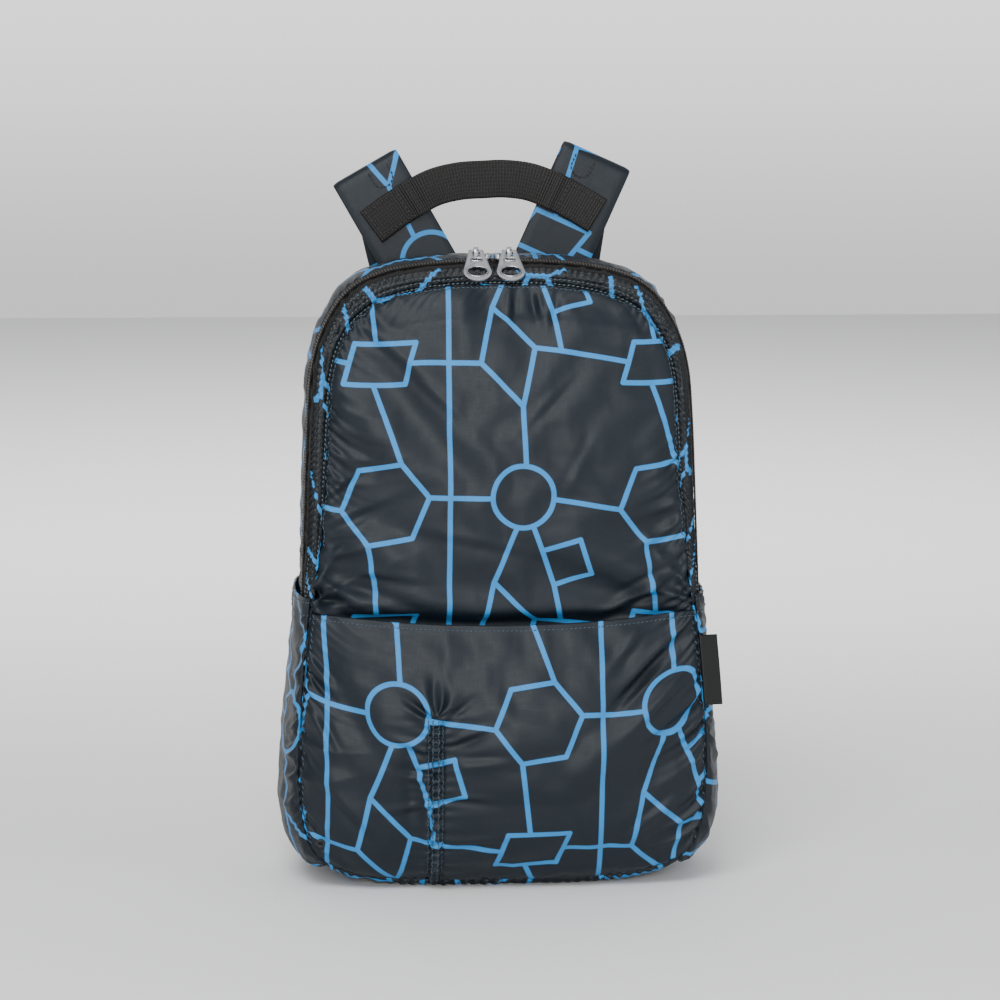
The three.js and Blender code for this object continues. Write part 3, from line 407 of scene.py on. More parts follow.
def turnedIn(grid, flat, depth):  # the seam allowance: one more row all round, folded into the bag
    wide = np.pad(grid, ((1, 1), (1, 1), (0, 0)), mode="edge")
    wideFlat = np.pad(flat, ((1, 1), (1, 1), (0, 0)), mode="edge")
    rim = np.ones(wide.shape[:2], bool)
    rim[1:-1, 1:-1] = False
    wide[rim] += inward(wide[rim]) * depth
    wideFlat[:, 0, 0] -= depth
    wideFlat[:, -1, 0] += depth
    wideFlat[0, :, 1] -= depth
    wideFlat[-1, :, 1] += depth
    return wide, wideFlat


def cutMap(mesh, flat):  # where each corner lies on the flat cloth, in metres, as the UV map
    uv = mesh.uv_layers.new(name="cut")
    corner = np.zeros(len(mesh.loops), int)
    mesh.loops.foreach_get("vertex_index", corner)
    uv.data.foreach_set("uv", flat.reshape(-1, 2)[corner].ravel())
    mesh.shade_smooth()


def gridObject(name, grid, flat):
    rows, columns = grid.shape[:2]
    index = np.arange(rows * columns).reshape(rows, columns)
    quads = np.stack([index[:-1, :-1], index[:-1, 1:], index[1:, 1:], index[1:, :-1]], -1).reshape(-1, 4)
    normals = np.cross(np.gradient(grid, axis=1), np.gradient(grid, axis=0))
    if (normals * -inward(grid)).sum() < 0:
        quads = quads[:, ::-1]
    mesh = bpy.data.meshes.new(name)
    mesh.from_pydata(grid.reshape(-1, 3).tolist(), [], quads.tolist())
    cutMap(mesh, flat)
    return sceneObject(name, mesh)


def solidWall(obj, thickness):
    wall = obj.modifiers.new("cloth wall", "SOLIDIFY")
    wall.thickness = thickness
    wall.offset = -1
    wall.use_even_offset = False
    return obj


def settled(name, grid, held, settings):  # the cloth simulation, run and read back as a grid
    obj = gridObject(name + "_settling", grid, grid[..., :2])
    group = obj.vertex_groups.new(name="held")
    for i, weight in enumerate(held.ravel()):
        group.add([i], float(weight), "REPLACE")
    cloth = obj.modifiers.new("settling", "CLOTH")
    cloth.settings.quality = settings["quality"]
    cloth.settings.mass = settings["mass"]
    cloth.settings.tension_stiffness = settings["stretch"]
    cloth.settings.compression_stiffness = settings["stretch"]
    cloth.settings.shear_stiffness = settings["shear"]
    cloth.settings.bending_stiffness = settings["bend"]
    cloth.settings.vertex_group_mass = "held"
    cloth.settings.pin_stiffness = settings["hold"]
    cloth.settings.shrink_min = -settings["surplus"]
    cloth.settings.use_pressure = True
    cloth.settings.uniform_pressure_force = settings["push"]
    cloth.settings.effector_weights.gravity = 0
    cloth.collision_settings.use_collision = False
    cloth.point_cache.frame_end = settings["frames"]
    for step in range(1, settings["frames"] + 1):
        scene.frame_set(step)
    evaluated = obj.evaluated_get(bpy.context.evaluated_depsgraph_get())
    points = np.zeros(grid.size)
    evaluated.data.vertices.foreach_get("co", points)
    bpy.data.objects.remove(obj)
    scene.frame_set(1)
    move = points.reshape(grid.shape) - grid
    for _ in range(settings["smooth"]):
        inner = move[1:-1, 1:-1]
        around = move[:-2, 1:-1] + move[2:, 1:-1] + move[1:-1, :-2] + move[1:-1, 2:]
        move[1:-1, 1:-1] = 0.5 * inner + 0.125 * around
    far = np.linalg.norm(move, axis=-1, keepdims=True)
    cap = settings["cap"]
    return grid + move * (cap * np.tanh(far / cap) / np.maximum(far, 1e-9))


# the seams' puckers: short ripples that run square to each sewn edge and fade into the panel
puckers = {
    "pitch": 0.0072, "depth": 0.0016, "reach": 0.0098, "seed": 5,
    "longPitch": 0.019, "longDepth": 0.0021, "longReach": 0.027, "slant": 0.7,
}


def seamPuckers(distance, along, seed, strength=1.0):
    random = puckers["seed"] + seed
    shift = 2.2 * latticeNoise(along, along * 0 + 0.01, 0.03, random)
    reach = puckers["reach"] * (1 + 0.9 * latticeNoise(along, along * 0, 0.012, random + 1))
    strong = 0.65 + 0.6 * latticeNoise(along, along * 0, 0.022, random + 2)
    ripple = np.sin(2 * np.pi * along / puckers["pitch"] + shift)
    bite = np.exp(-distance / np.maximum(reach, 0.003)) * ease(distance / 0.002)
    # the long folds run off at a slant, each of its own strength
    slant = puckers["slant"] * latticeNoise(along, along * 0, 0.08, random + 3)
    run = along + slant * distance
    swing = 2.6 * latticeNoise(run, run * 0, 0.05, random + 4)
    longRipple = 1 - 2 * np.abs(np.sin(np.pi * run / puckers["longPitch"] + swing))
    chosen = np.clip(0.35 + 1.1 * latticeNoise(run, run * 0, 0.034, random + 5), 0, 1.2)
    fade = np.exp(-((distance / puckers["longReach"]) ** 1.3)) * ease(distance / 0.007)
    small = puckers["depth"] * strong * ripple * bite
    return strength * (small + puckers["longDepth"] * chosen * longRipple * fade)


def crumple(flat, seed, depth, size):  # creases: ridges of smooth noise, sharper on top than below
    x, y = flat[..., 0], flat[..., 1]
    bend = 0.35 * size * latticeNoise(x, y, 2.2 * size, seed + 7)
    ridge = 1 - 2 * np.abs(latticeNoise(x + bend, y - bend, size, seed))
    finer = 1 - 2 * np.abs(latticeNoise(y - bend, x + bend, 0.55 * size, seed + 3))
    return depth * (ridge + 0.45 * finer)


panels = {}


def flatSize(grid, shift, turn):  # where each point lies on the flat cloth, moved and turned on the print
    along, up = arcLengths(grid)
    middleColumn, middleRow = grid.shape[1] // 2, grid.shape[0] // 2
    x = along - along[:, middleColumn, None]
    y = up - up[None, middleRow, :]
    cosine, sine = math.cos(math.radians(turn)), math.sin(math.radians(turn))
    flat = np.stack([x * cosine - y * sine + shift[0], x * sine + y * cosine + shift[1]], -1)
    return flat, along, up


def sewnPanel(name, grid, cut, extra=None):  # cloth between seams: settled, refined, puckered and creased
    cut = {**usualCut, **cut}
    step = cut["step"]  # the simulation's squares are this many of the grid's
    coarse = grid[::step, ::step]
    held = np.full(coarse.shape[:2], cut["hold"])
    held[[0, -1], :] = 1
    held[:, [0, -1]] = 1
    move = settled(name, coarse, held, {**clothSettings, **cut["settle"]}) - coarse
    even = refined(grid, cut["refine"])
    soft = even + refined(move, cut["refine"] * step)
    flat, along, up = flatSize(even, cut["shift"], cut["turn"])
    x, y = along - along[:, :1], up - up[:1]
    edges = {"left": (x, y), "right": (x[:, -1:] - x, y), "bottom": (y, x), "top": (y[-1:] - y, x)}
    height = np.zeros(x.shape)
    nearest = np.full(x.shape, 1.0)
    for i, (edge, (distance, run)) in enumerate(edges.items()):
        height += seamPuckers(distance, run, cut["seed"] + 17 * i, cut["puckers"].get(edge, 0.0))
        nearest = np.minimum(nearest, distance)
    creases = crumple(flat, cut["seed"], cut["crease"], cut["creaseSize"])
    height += creases * ease(nearest / cut["creaseFade"])
    if extra is not None:
        height += extra(soft, x, y, flat)
    soft = soft + gridNormals(soft) * height[..., None]
    soft[..., 2] = np.maximum(soft[..., 2], bag["floorClearance"])
    panels[name] = {"grid": soft, "normals": gridNormals(soft), "x": x, "y": y}
    wide, wideFlat = turnedIn(soft, flat, cut["allowance"])
    obj = solidWall(gridObject(name, wide, wideFlat), bag["cloth"] * bag["clothDrawn"])
    print("sewn:", name, len(obj.data.polygons), "faces")
    return obj


clothSettings = {
    "quality": 4,
    "mass": 0.06,
    "stretch": 18,
    "shear": 4,
    "bend": 4.0,
    "hold": 0.5,
    "surplus": 0.02,
    "push": 0.5,
    "frames": 26,
    "smooth": 2,
    "cap": 0.0045,
}

# what the sewn panels have in common: how finely each is drawn and how firmly held while it settles
usualCut = {
    "refine": 2, "step": 2, "hold": 0.35, "shift": (0, 0), "turn": 0, "puckers": {}, "settle": {},
    "creaseFade": 0.012,
}


def cornerFolds(grid, x, y, flat):  # folds that fan out of the places where the pocket's mouth is sewn in
    total = np.zeros(grid.shape[:2])
    for i, side in enumerate((-1, 1)):
        dx = side * grid[..., 0] - cornerPull["x"] * bag["halfWidth"]
        dz = grid[..., 2] - cornerPull["z"]
        reach, angle = np.hypot(dx, dz), np.arctan2(dz, -dx)
        wander = 0.5 * latticeNoise(grid[..., 0], grid[..., 2], 0.03, 91 + i)
        fan = 1 - 2 * np.abs(np.sin(cornerPull["folds"] * angle + wander + i))
        above = ease(reach / cornerPull["start"]) * ease(dz / cornerPull["fade"] + 0.4)
        total += fan * np.exp(-reach / cornerPull["reach"]) * above
    return cornerPull["depth"] * total + foldDepth(panelCreases, grid, bag["frontPuff"], True)


cornerPull = {
    "x": 1.0, "z": 0.198, "folds": 6.5, "start": 0.012, "fade": 0.01, "reach": 0.032, "depth": 0.0044,
}

# front panel: fine rows where it shows, few where the pocket hides it
frontCut = {
    "columns": 81, "hiddenRows": 16, "shownRows": 78, "shownFrom": 0.4, "seed": 11,
    "shift": (0.031, 0.052), "crease": 0.0004, "creaseSize": 0.034, "allowance": 0.0025,
    "puckers": {"left": 1.0, "right": 1.0, "top": 0.22},
}
shown = frontCut["shownFrom"]
hiddenRows, shownRows = span(frontCut["hiddenRows"])[:-1], span(frontCut["shownRows"])
frontRows = np.concatenate([hiddenRows * shown, shown + shownRows * (1 - shown)])
frontGrid = frontSurface(span(frontCut["columns"]), frontRows)
frontPanel = sewnPanel("front_panel_cloth", frontGrid, frontCut, cornerFolds)

# front pocket, with a stitched strip that runs down it
pocketStrip = {
    "x": -0.048, "halfWidth": 0.0043, "top": 0.125, "topFade": 0.004, "depth": 0.0026,
    "stitchWidth": 0.0011, "pitch": 0.0068, "edge": 0.0015, "spread": 0.007,
    "rays": 9, "rayDepth": 0.0026, "rayStart": 0.006, "rayReach": 0.016,
}


def stripFolds(grid, x, y, flat):  # ruffles along the strip, and rays that fan out of its top
    z = grid[..., 2]
    away = np.abs(grid[..., 0] - pocketStrip["x"])
    below = ease((pocketStrip["top"] - z) / pocketStrip["topFade"])
    rows = np.exp(-(((away - pocketStrip["halfWidth"]) / pocketStrip["stitchWidth"]) ** 2))
    ruffle = np.sin(2 * np.pi * z / pocketStrip["pitch"] + 2 * latticeNoise(z, z * 0, 0.02, 4))
    inside = ease((pocketStrip["halfWidth"] - away) / pocketStrip["edge"])
    outside = np.exp(-np.maximum(away - pocketStrip["halfWidth"], 0) / pocketStrip["spread"])
    gathered = (0.9 * inside + 0.55 * outside) * ruffle * pocketStrip["depth"] * 0.55
    rayX, rayZ = grid[..., 0] - pocketStrip["x"], z - pocketStrip["top"]
    reach = np.hypot(rayX, rayZ)
    rays = np.cos(pocketStrip["rays"] * np.arctan2(rayX, rayZ)) * np.exp(-reach / pocketStrip["rayReach"])
    rays *= ease(reach / pocketStrip["rayStart"]) * ease(rayZ / 0.01 + 0.6)
    creases = foldDepth(pocketCreases, grid, bag["frontPuff"], True)
    return below * (gathered - rows * pocketStrip["depth"]) + pocketStrip["rayDepth"] * rays + creases


pocketCut = {
    "columns": 81, "rows": 61, "refine": 3, "seed": 23, "shift": (0.118, 0.021),
    "crease": 0.00045, "creaseSize": 0.032, "allowance": 0.0022,
    "puckers": {"left": 1.2, "right": 1.4, "bottom": 0.6},
}
pocketForm = pocketSurface(span(pocketCut["columns"]), span(pocketCut["rows"]))
frontPocket = sewnPanel("front_pocket_cloth", pocketForm, pocketCut, stripFolds)

# back panel
backCut = {
    "columns": 57, "rows": 85, "hold": 0.4, "seed": 31,
    "crease": 0.0004, "creaseSize": 0.03, "allowance": 0.0025,
    "puckers": {"left": 0.7, "right": 0.7, "top": 0.6, "bottom": 0.6},
}
backForm = backSurface(span(backCut["columns"]), span(backCut["rows"]))
backPanel = sewnPanel("back_panel_cloth", backForm, backCut)

# the side wall's strips: front band, zip tape, gusset, and the base length below the zip
zipRing = ringAtHeight("wideZ", bag["zipEndHeight"])
wallLength = math.pi * 0.25 * (bag["frontDepth"] + bag["backDepth"])
shareGap = 0.75 * bag["gap"] / wallLength
archEnds = (zipRing, 2 * topRow - zipRing)

# the band before the zip is gathered under four rows of stitches
bandCut = {
    "columns": 440, "rows": 19, "step": 1, "hold": 0.5, "settle": {"frames": 2}, "seed": 41,
    "shift": (0.07, 0.03), "crease": 0.0003, "creaseSize": 0.009, "allowance": 0.0015,
    "stitchedAt": [0.1, 0.36, 0.62, 0.88], "stitchWidth": 0.0025, "bite": 1.3,
    "ruffle": 0.0015, "pitch": 0.0046,
}


def bandRuffles(grid, x, y, flat):
    place = y / y[-1:]
    stitched = bandCut["stitchedAt"]
    nearest = np.min([np.abs(place - row) for row in stitched], axis=0) * y[-1:]
    channel = np.searchsorted(stitched, place[:, :1].ravel())[:, None]
    shift = channel * 2.4 + 2.6 * latticeNoise(x, y, 0.018, 43)
    ripple = np.sin(2 * np.pi * x / bandCut["pitch"] + shift)
    ripple *= 0.6 + 0.5 * latticeNoise(x, y, 0.014, 44)
    between = ease(nearest / bandCut["stitchWidth"])
    return bandCut["ruffle"] * (between * (0.6 + 0.6 * ripple) - bandCut["bite"] * (1 - between))


bandEnds = (shareGap, bag["zipFrontShare"] - shareGap)
bandGrid = wallSurface(*archEnds, *bandEnds, bandCut["columns"], bandCut["rows"])
frontBand = sewnPanel("front_band_cloth", bandGrid, bandCut, bandRuffles)

tapeCut = {
    "columns": 260, "rows": 7, "step": 1, "hold": 0.9, "settle": {"frames": 2}, "seed": 51,
    "crease": 0.0001, "creaseSize": 0.02, "allowance": 0.002, "puckers": {"top": 0.2, "bottom": 0.35},
}
tapeEnds = (bag["zipFrontShare"] + shareGap, bag["zipRearShare"] - shareGap)
tapeGrid = wallSurface(*archEnds, *tapeEnds, tapeCut["columns"], tapeCut["rows"])
zipTape = sewnPanel("main_zip_tape_woven", tapeGrid, tapeCut)

gussetCut = {
    "columns": 221, "rows": 27, "seed": 61, "shift": (0.02, 0.09),
    "crease": 0.0007, "creaseSize": 0.02, "allowance": 0.002, "puckers": {"bottom": 0.4, "top": 0.4},
}
gussetEnds = (bag["zipRearShare"] + shareGap, 1 - shareGap)
gussetGrid = wallSurface(*archEnds, *gussetEnds, gussetCut["columns"], gussetCut["rows"])
gusset = sewnPanel("gusset_cloth", gussetGrid, gussetCut)

baseCut = {
    "columns": 231, "rows": 37, "seed": 71, "shift": (0.05, 0.02),
    "crease": 0.0005, "creaseSize": 0.022, "allowance": 0.002, "puckers": {"bottom": 0.8, "top": 0.8},
}
baseEnds = (-zipRing + bag["zipEndGap"], zipRing - bag["zipEndGap"])
baseGrid = wallSurface(*baseEnds, shareGap, 1 - shareGap, baseCut["columns"], baseCut["rows"])
baseGusset = sewnPanel("base_gusset_cloth", baseGrid, baseCut)

# side pockets stand a little off the side wall, open at the top
sidePocketRing = ringAtHeight("wideZ", bag["sidePocketHeight"])
sideCut = {
    "columns": 73, "rows": 49, "seed": 81, "shift": (0.09, 0.06), "turn": 90,
    "crease": 0.0006, "creaseSize": 0.02, "allowance": 0.0016,
    "puckers": {"bottom": 0.8, "top": 0.8, "left": 0.5},
    "mouthShare": 0.55,  # an empty pocket's mouth stands open less than the full one's
}


def sideLift(ring, share):
    place = np.abs(ring)
    up = (place - bag["sidePocketLow"]) / (sidePocketRing - bag["sidePocketLow"])
    girth = (share - bag["sidePocketEdge"]) / (1 - 2 * bag["sidePocketEdge"])
    across = np.clip(np.sin(np.pi * np.clip(girth, 0, 1)), 0, 1) ** 0.8
    belly = bag["sidePocketPuff"] * np.clip(np.sin(np.pi * np.clip(0.9 * up + 0.02, 0, 1)), 0, 1) ** 0.7
    mouth = sideCut["mouthShare"] * bag["sidePocketMouth"] * ease(1.6 * up)
    swell = np.maximum(belly * (1 - 0.6 * up), mouth)
    return bag["gap"] + bag["cloth"] + across * np.maximum(swell, 0)


sidePockets = {}
edge = bag["sidePocketEdge"]
for side, sign in (("left", -1), ("right", 1)):
    ends = (sign * bag["sidePocketLow"], sign * sidePocketRing)
    sideGrid = wallSurface(*ends, edge, 1 - edge, sideCut["columns"], sideCut["rows"], sideLift)
    cut = {**sideCut, "seed": sideCut["seed"] + sign, "turn": sideCut["turn"] * sign}
    sidePockets[side] = sewnPanel(f"side_pocket_{side}_cloth", sideGrid, cut)


# straps, handle and webbing are flat bands along smooth routes
band = {
    "strapWidth": 0.052, "strapThickness": 0.003, "strapRootX": 0.0475, "strapRootInset": 0.012,
    "strapRootDrop": 0.030, "strapRise": 0.064, "strapLean": 27, "strapTurn": 2.8, "strapShift": -0.002,
    "strapFoldRadius": 0.0046, "strapBow": 0.020, "strapEndHeight": 0.188, "strapEndWidth": 0.027,
    "strapEndX": 0.068, "handleWidth": 0.027, "handleThickness": 0.0016, "handleRise": 0.0515,
    "handleSpan": 0.081, "handleEndDrop": 0.030, "webbingWidth": 0.025, "webbingThickness": 0.0014,
    "anchorHeight": 0.086, "tabRootHeight": 0.034, "tabOverlap": 0.003,
    "lockHeight": 0.027, "lockThickness": 0.0036, "lockBar": 0.004, "tailLength": 0.062,
}
topZ = bag["height"]
strapRootZ = topZ - band["strapRootDrop"]


def smoothRoute(points, count):  # evenly spaced points and tangents on a centripetal curve
    p = np.array(points, float)
    p = np.concatenate([[2 * p[0] - p[1]], p, [2 * p[-1] - p[-2]]])
    out = []
    for i in range(1, len(p) - 2):
        d0, d1, d2 = (max(np.linalg.norm(p[i + k] - p[i + k - 1]) ** 0.5, 1e-6) for k in range(3))
        t1 = ((p[i] - p[i - 1]) / d0 - (p[i + 1] - p[i - 1]) / (d0 + d1) + (p[i + 1] - p[i]) / d1) * d1
        t2 = ((p[i + 1] - p[i]) / d1 - (p[i + 2] - p[i]) / (d1 + d2) + (p[i + 2] - p[i + 1]) / d2) * d1
        t = np.linspace(0, 1, 60)[:, None]
        a, b = p[i], p[i + 1]
        out.append(a + t1 * t + (3 * (b - a) - 2 * t1 - t2) * t**2 + (2 * (a - b) + t1 + t2) * t**3)
    curve = np.concatenate(out)
    keep = np.concatenate([[True], np.linalg.norm(np.diff(curve, axis=0), axis=1) > 1e-9])
    curve = curve[keep]
    along = runLength(curve)
    wanted = np.linspace(0, along[-1], count)
    route = np.stack([np.interp(wanted, along, curve[:, k]) for k in range(3)], -1)
    return route, unit(np.gradient(route, axis=0))


def leant(points):  # the stood-up straps and handle lean over together, less and less down the back
    part = ease((points[..., 2] - strapRootZ) / (0.35 * bag["height"]) + 1)
    angle = math.radians(band["strapTurn"]) * -part
    x, z = points[..., 0], points[..., 2] - strapRootZ
    turnedX = x * np.cos(angle) + z * np.sin(angle)
    turnedZ = z * np.cos(angle) - x * np.sin(angle)
    return np.stack([turnedX + band["strapShift"] * part, points[..., 1], turnedZ + strapRootZ], -1)


def ribbonObject(name, route, across, facing, widths, profile, columns, lean=False, shift=(0, 0)):
    # a closed band: one face on each side of its route, with thin edges and square ends
    s = np.sin(np.linspace(-0.5, 0.5, columns) * np.pi)
    half = profile(s)
    front = route[:, None] + across[:, None] * (s * 0.5)[None, :, None] * widths[:, None, None]
    lift = facing[:, None] * half[None, :, None] if half.ndim == 1 else facing[:, None] * half[..., None]
    ring = np.concatenate([front + lift, (front - lift)[:, ::-1]], axis=1)
    if lean:
        ring = leant(ring)
    rows, around = ring.shape[:2]
    index = np.arange(rows * around).reshape(rows, around)
    following = np.roll(index, -1, axis=1)
    quads = np.stack([index[:-1], following[:-1], following[1:], index[1:]], -1).reshape(-1, 4).tolist()
    for row, order in ((index[0], 1), (index[-1], -1)):
        for j in range(columns - 1):
            face = [row[j], row[j + 1], row[around - 2 - j], row[around - 1 - j]]
            quads.append([int(i) for i in (face[::-1] if order > 0 else face)])
    along = runLength(route)
    u = np.concatenate([s, s[::-1]]) * 0.5
    sideways, lengthways = u[None] * widths[:, None] + shift[0], along[:, None] + shift[1]
    flat = np.stack(np.broadcast_arrays(sideways, lengthways), -1)
    mesh = bpy.data.meshes.new(name)
    mesh.from_pydata(ring.reshape(-1, 3).tolist(), [], quads)
    cutMap(mesh, flat)
    outwardFaces(mesh)
    return sceneObject(name, mesh)


def outwardFaces(mesh):  # a closed mesh whose volume is negative is inside out
    points = np.zeros(len(mesh.vertices) * 3)
    mesh.vertices.foreach_get("co", points)
    points = points.reshape(-1, 3)
    mesh.calc_loop_triangles()
    corners = np.zeros(len(mesh.loop_triangles) * 3, int)
    mesh.loop_triangles.foreach_get("vertices", corners)
    a, b, c = (points[corners.reshape(-1, 3)[:, k]] for k in range(3))
    if (a * np.cross(b, c)).sum() < 0:
        mesh.flip_normals()
    return mesh


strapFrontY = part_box("strap_right")[0].y + band["strapThickness"] / 2
strapRearY = strapFrontY + 2 * band["strapFoldRadius"]
lean = math.radians(band["strapLean"])
strapUp = np.array([math.sin(lean), 0, math.cos(lean)])
strapAcross = np.array([math.cos(lean), 0, -math.sin(lean)])
strapTopLength = (topZ + band["strapRise"] - band["strapFoldRadius"] - strapRootZ) / math.cos(lean)


def strapRoute():  # the right strap: up off the back panel, over its fold, and down behind the bag
    root = np.array([band["strapRootX"] - band["strapRootInset"], 0, strapRootZ])
    fold = band["strapFoldRadius"]
    straight = [(root + strapUp * d, strapFrontY, [0, -1, 0]) for d in np.linspace(0, strapTopLength, 60)]
    turn = []
    for angle in np.linspace(0, np.pi, 14)[1:]:
        facing = strapUp * math.sin(angle) + np.array([0, -math.cos(angle), 0])
        lift = strapTopLength + fold * math.sin(angle)
        turn.append((root + strapUp * lift, strapFrontY + fold * (1 - math.cos(angle)), facing))
    backDown = np.linspace(strapTopLength, 0.6 * strapTopLength, 22)[1:]
    down = [(root + strapUp * d, strapRearY, [0, 1, 0]) for d in backDown]
    top = straight + turn + down
    route = np.array([[p[0], y, p[2]] for p, y, _ in top])
    facing = np.array([f for _, _, f in top], float)
    across = np.tile(strapAcross, (len(top), 1))
    backOut = bag["backDepth"] + bag["backPuff"] + band["strapThickness"] / 2 + band["strapBow"]
    shares = [(0.29, 0.45, 0.86), (0.3, 0.85, 0.56), (0.7, 1, 0.42), (0.9, 0.9, 0.18), (1, 0.62, 0)]
    tail = [route[-1]] + [
        [
            mix(band["strapRootX"], band["strapEndX"], out),
            mix(strapRearY, backOut, back),
            mix(band["strapEndHeight"], topZ, height),
        ]
        for out, back, height in shares
    ]
    run, along = smoothRoute(tail, 120)
    face = unit(np.array([0, 1.0, 0]) - along * along[:, 1:2])
    side = np.cross(along, face)
    side *= np.where(side[:, :1] < 0, -1, 1)
    narrow = mix(1, band["strapEndWidth"] / band["strapWidth"], ease(span(120) / 0.4 - 1.5))
    route = np.concatenate([route, run[1:]])
    across = np.concatenate([across, side[1:]])
    facing = np.concatenate([facing, face[1:]])
    widths = np.concatenate([np.ones(len(top)), narrow[1:]]) * band["strapWidth"]
    return route, across, facing, widths


def strapProfile(s):  # padded between its sewn edges
    edge = 1 - np.abs(s)
    pad = ease(edge / 0.16)
    return np.where(edge < 1e-6, 0.00025, mix(0.0007, 0.5 * band["strapThickness"], pad))


route, across, facing, widths = strapRoute()
mirror = np.array([-1, 1, 1])
strapSides = {"left": mirror, "right": np.array([1, 1, 1])}
straps = {}
for side, flip in strapSides.items():
    shift = (0.052, 0.028) if side == "left" else (0.145, 0.105)
    straps[side] = ribbonObject(
        f"strap_{side}_padded", route * flip, across * flip, facing * flip,
        widths, strapProfile, 22, True, shift,
    )
print("straps done")

# haul handle: sewn flat on both straps, arched between them
handleY = strapFrontY - band["strapThickness"] / 2 - bag["gap"] - band["handleThickness"] / 2
reach, rise, drop = band["handleSpan"], band["handleRise"], band["handleEndDrop"]
handleShares = [(1, 1), (0.81, 0.66), (0.62, 0.36), (0.42, 0.12), (0.2, 0.01)]
handleEnds = [(reach * out, topZ + rise - drop * down) for out, down in handleShares]
handlePoints = [[-x, handleY, z] for x, z in handleEnds] + [[0, handleY, topZ + rise]]
handlePoints += [[x, handleY, z] for x, z in reversed(handleEnds)]
handleStations = 150
handleLine, handleAlong = smoothRoute(handlePoints, handleStations)
handleFacing = np.tile([0, -1.0, 0], (handleStations, 1))

# it buckles forward where it leaves each strap
buckle = {"place": 0.037, "width": 0.0065, "depth": 0.0042}
handleRun = runLength(handleLine)
for run in (handleRun, handleRun[-1] - handleRun):
    off = (run - buckle["place"]) / buckle["width"]
    handleLine[:, 1] -= buckle["depth"] * np.exp(-(off**2))


def flatProfile(thickness):  # thinner at its two edges
    edge, rim = 0.999, 0.93
    return lambda s: np.where(np.abs(s) > edge, 0.3, np.where(np.abs(s) > rim, 0.8, 1.0)) * thickness / 2


handleFold = {"length": 0.031, "step": 0.0012}


def handleProfile(s):  # the ends are folded under and so twice as thick
    fromEnd = np.minimum(handleRun, handleRun[-1] - handleRun)
    doubled = 1 + ease((handleFold["length"] - fromEnd) / handleFold["step"])
    return doubled[:, None] * flatProfile(band["handleThickness"])(s)[None]


handle = ribbonObject(
    "handle_webbing", handleLine, np.cross(handleAlong, handleFacing), handleFacing,
    np.full(handleStations, band["handleWidth"]), handleProfile, 16, True,
)

# adjusting webbing, from the tab in the back seam up to the ladder lock and down as a loose tail
tabRing = ringAtHeight("backZ", band["anchorHeight"])
tabSeam = seams(np.array([tabRing]))[1][0]
tabY = tabSeam[1] + bag["cloth"] + bag["gap"]
lockMiddle = sum(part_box("ladder_lock_right"), Vector()) / 2


def webbingRoute(outward):
    bar = np.array([band["strapEndX"], lockMiddle.y, lockMiddle.z])
    thick = band["webbingThickness"]
    turn = math.hypot(band["lockBar"] / 2, band["lockThickness"] / 2) + 3 * bag["gap"] + thick / 2
    onTab = tabY + thick + 1.5 * bag["gap"]
    start = np.array([tabSeam[0] + 0.5 * outward, onTab, tabSeam[2] - 0.2 * band["tabRootHeight"]])
    towards = unit(np.array([bar[0], onTab, bar[2]]) - start)
    under = bar[2] - 0.6 * band["lockHeight"]
    second = start + towards * 1.5 * band["tabRootHeight"]
    second[1] = onTab + 2 * thick
    lifted = mix(np.array([bar[0], 0, under]), start, 0.3)
    lifted[1] = mix(onTab, bar[1] - turn, 0.7)
    x, y, z = bar
    first = start + towards * 0.8 * band["tabRootHeight"]
    points = [start, first, second, lifted, [x, y - turn, under]]
    points += [[x, y - turn * math.cos(a), z + turn * math.sin(a)] for a in np.linspace(0, np.pi, 7)]
    points += [[x, y + turn, under], [x, y + turn + 2 * thick, under - band["tailLength"]]]
    line, along = smoothRoute(points, 160)
    level = np.array([1.0, 0, 0])
    side = unit(level - along * along[:, :1])
    return line, side, np.cross(side, along)


webbings = {}
tabs = {}
tabStations = 24
for side, flip in strapSides.items():
    low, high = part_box(f"strap_tab_{side}")
    outward = max(abs(low.x), abs(high.x)) - tabSeam[0]
    line, sideways, face = webbingRoute(outward)
    webbings[side] = ribbonObject(
        f"webbing_{side}_woven", line * flip, sideways * flip, face * flip,
        np.full(len(line), band["webbingWidth"]), flatProfile(band["webbingThickness"]), 14,
    )
    steps = np.linspace(tabSeam[0] - band["tabOverlap"], tabSeam[0] + outward, tabStations)
    middle = np.stack([steps, np.full(tabStations, tabY), np.full(tabStations, tabSeam[2])], -1)
    upright, facingBack = (np.tile(way, (tabStations, 1)) for way in ([0, 0, 1.0], [0, -1.0, 0]))
    tall = mix(band["tabRootHeight"], band["webbingWidth"], span(tabStations))
    tabs[side] = ribbonObject(
        f"strap_tab_{side}_woven", middle * flip, upright * flip, facingBack * flip,
        tall, flatProfile(band["webbingThickness"]), 14,
    )
print("webbing done")

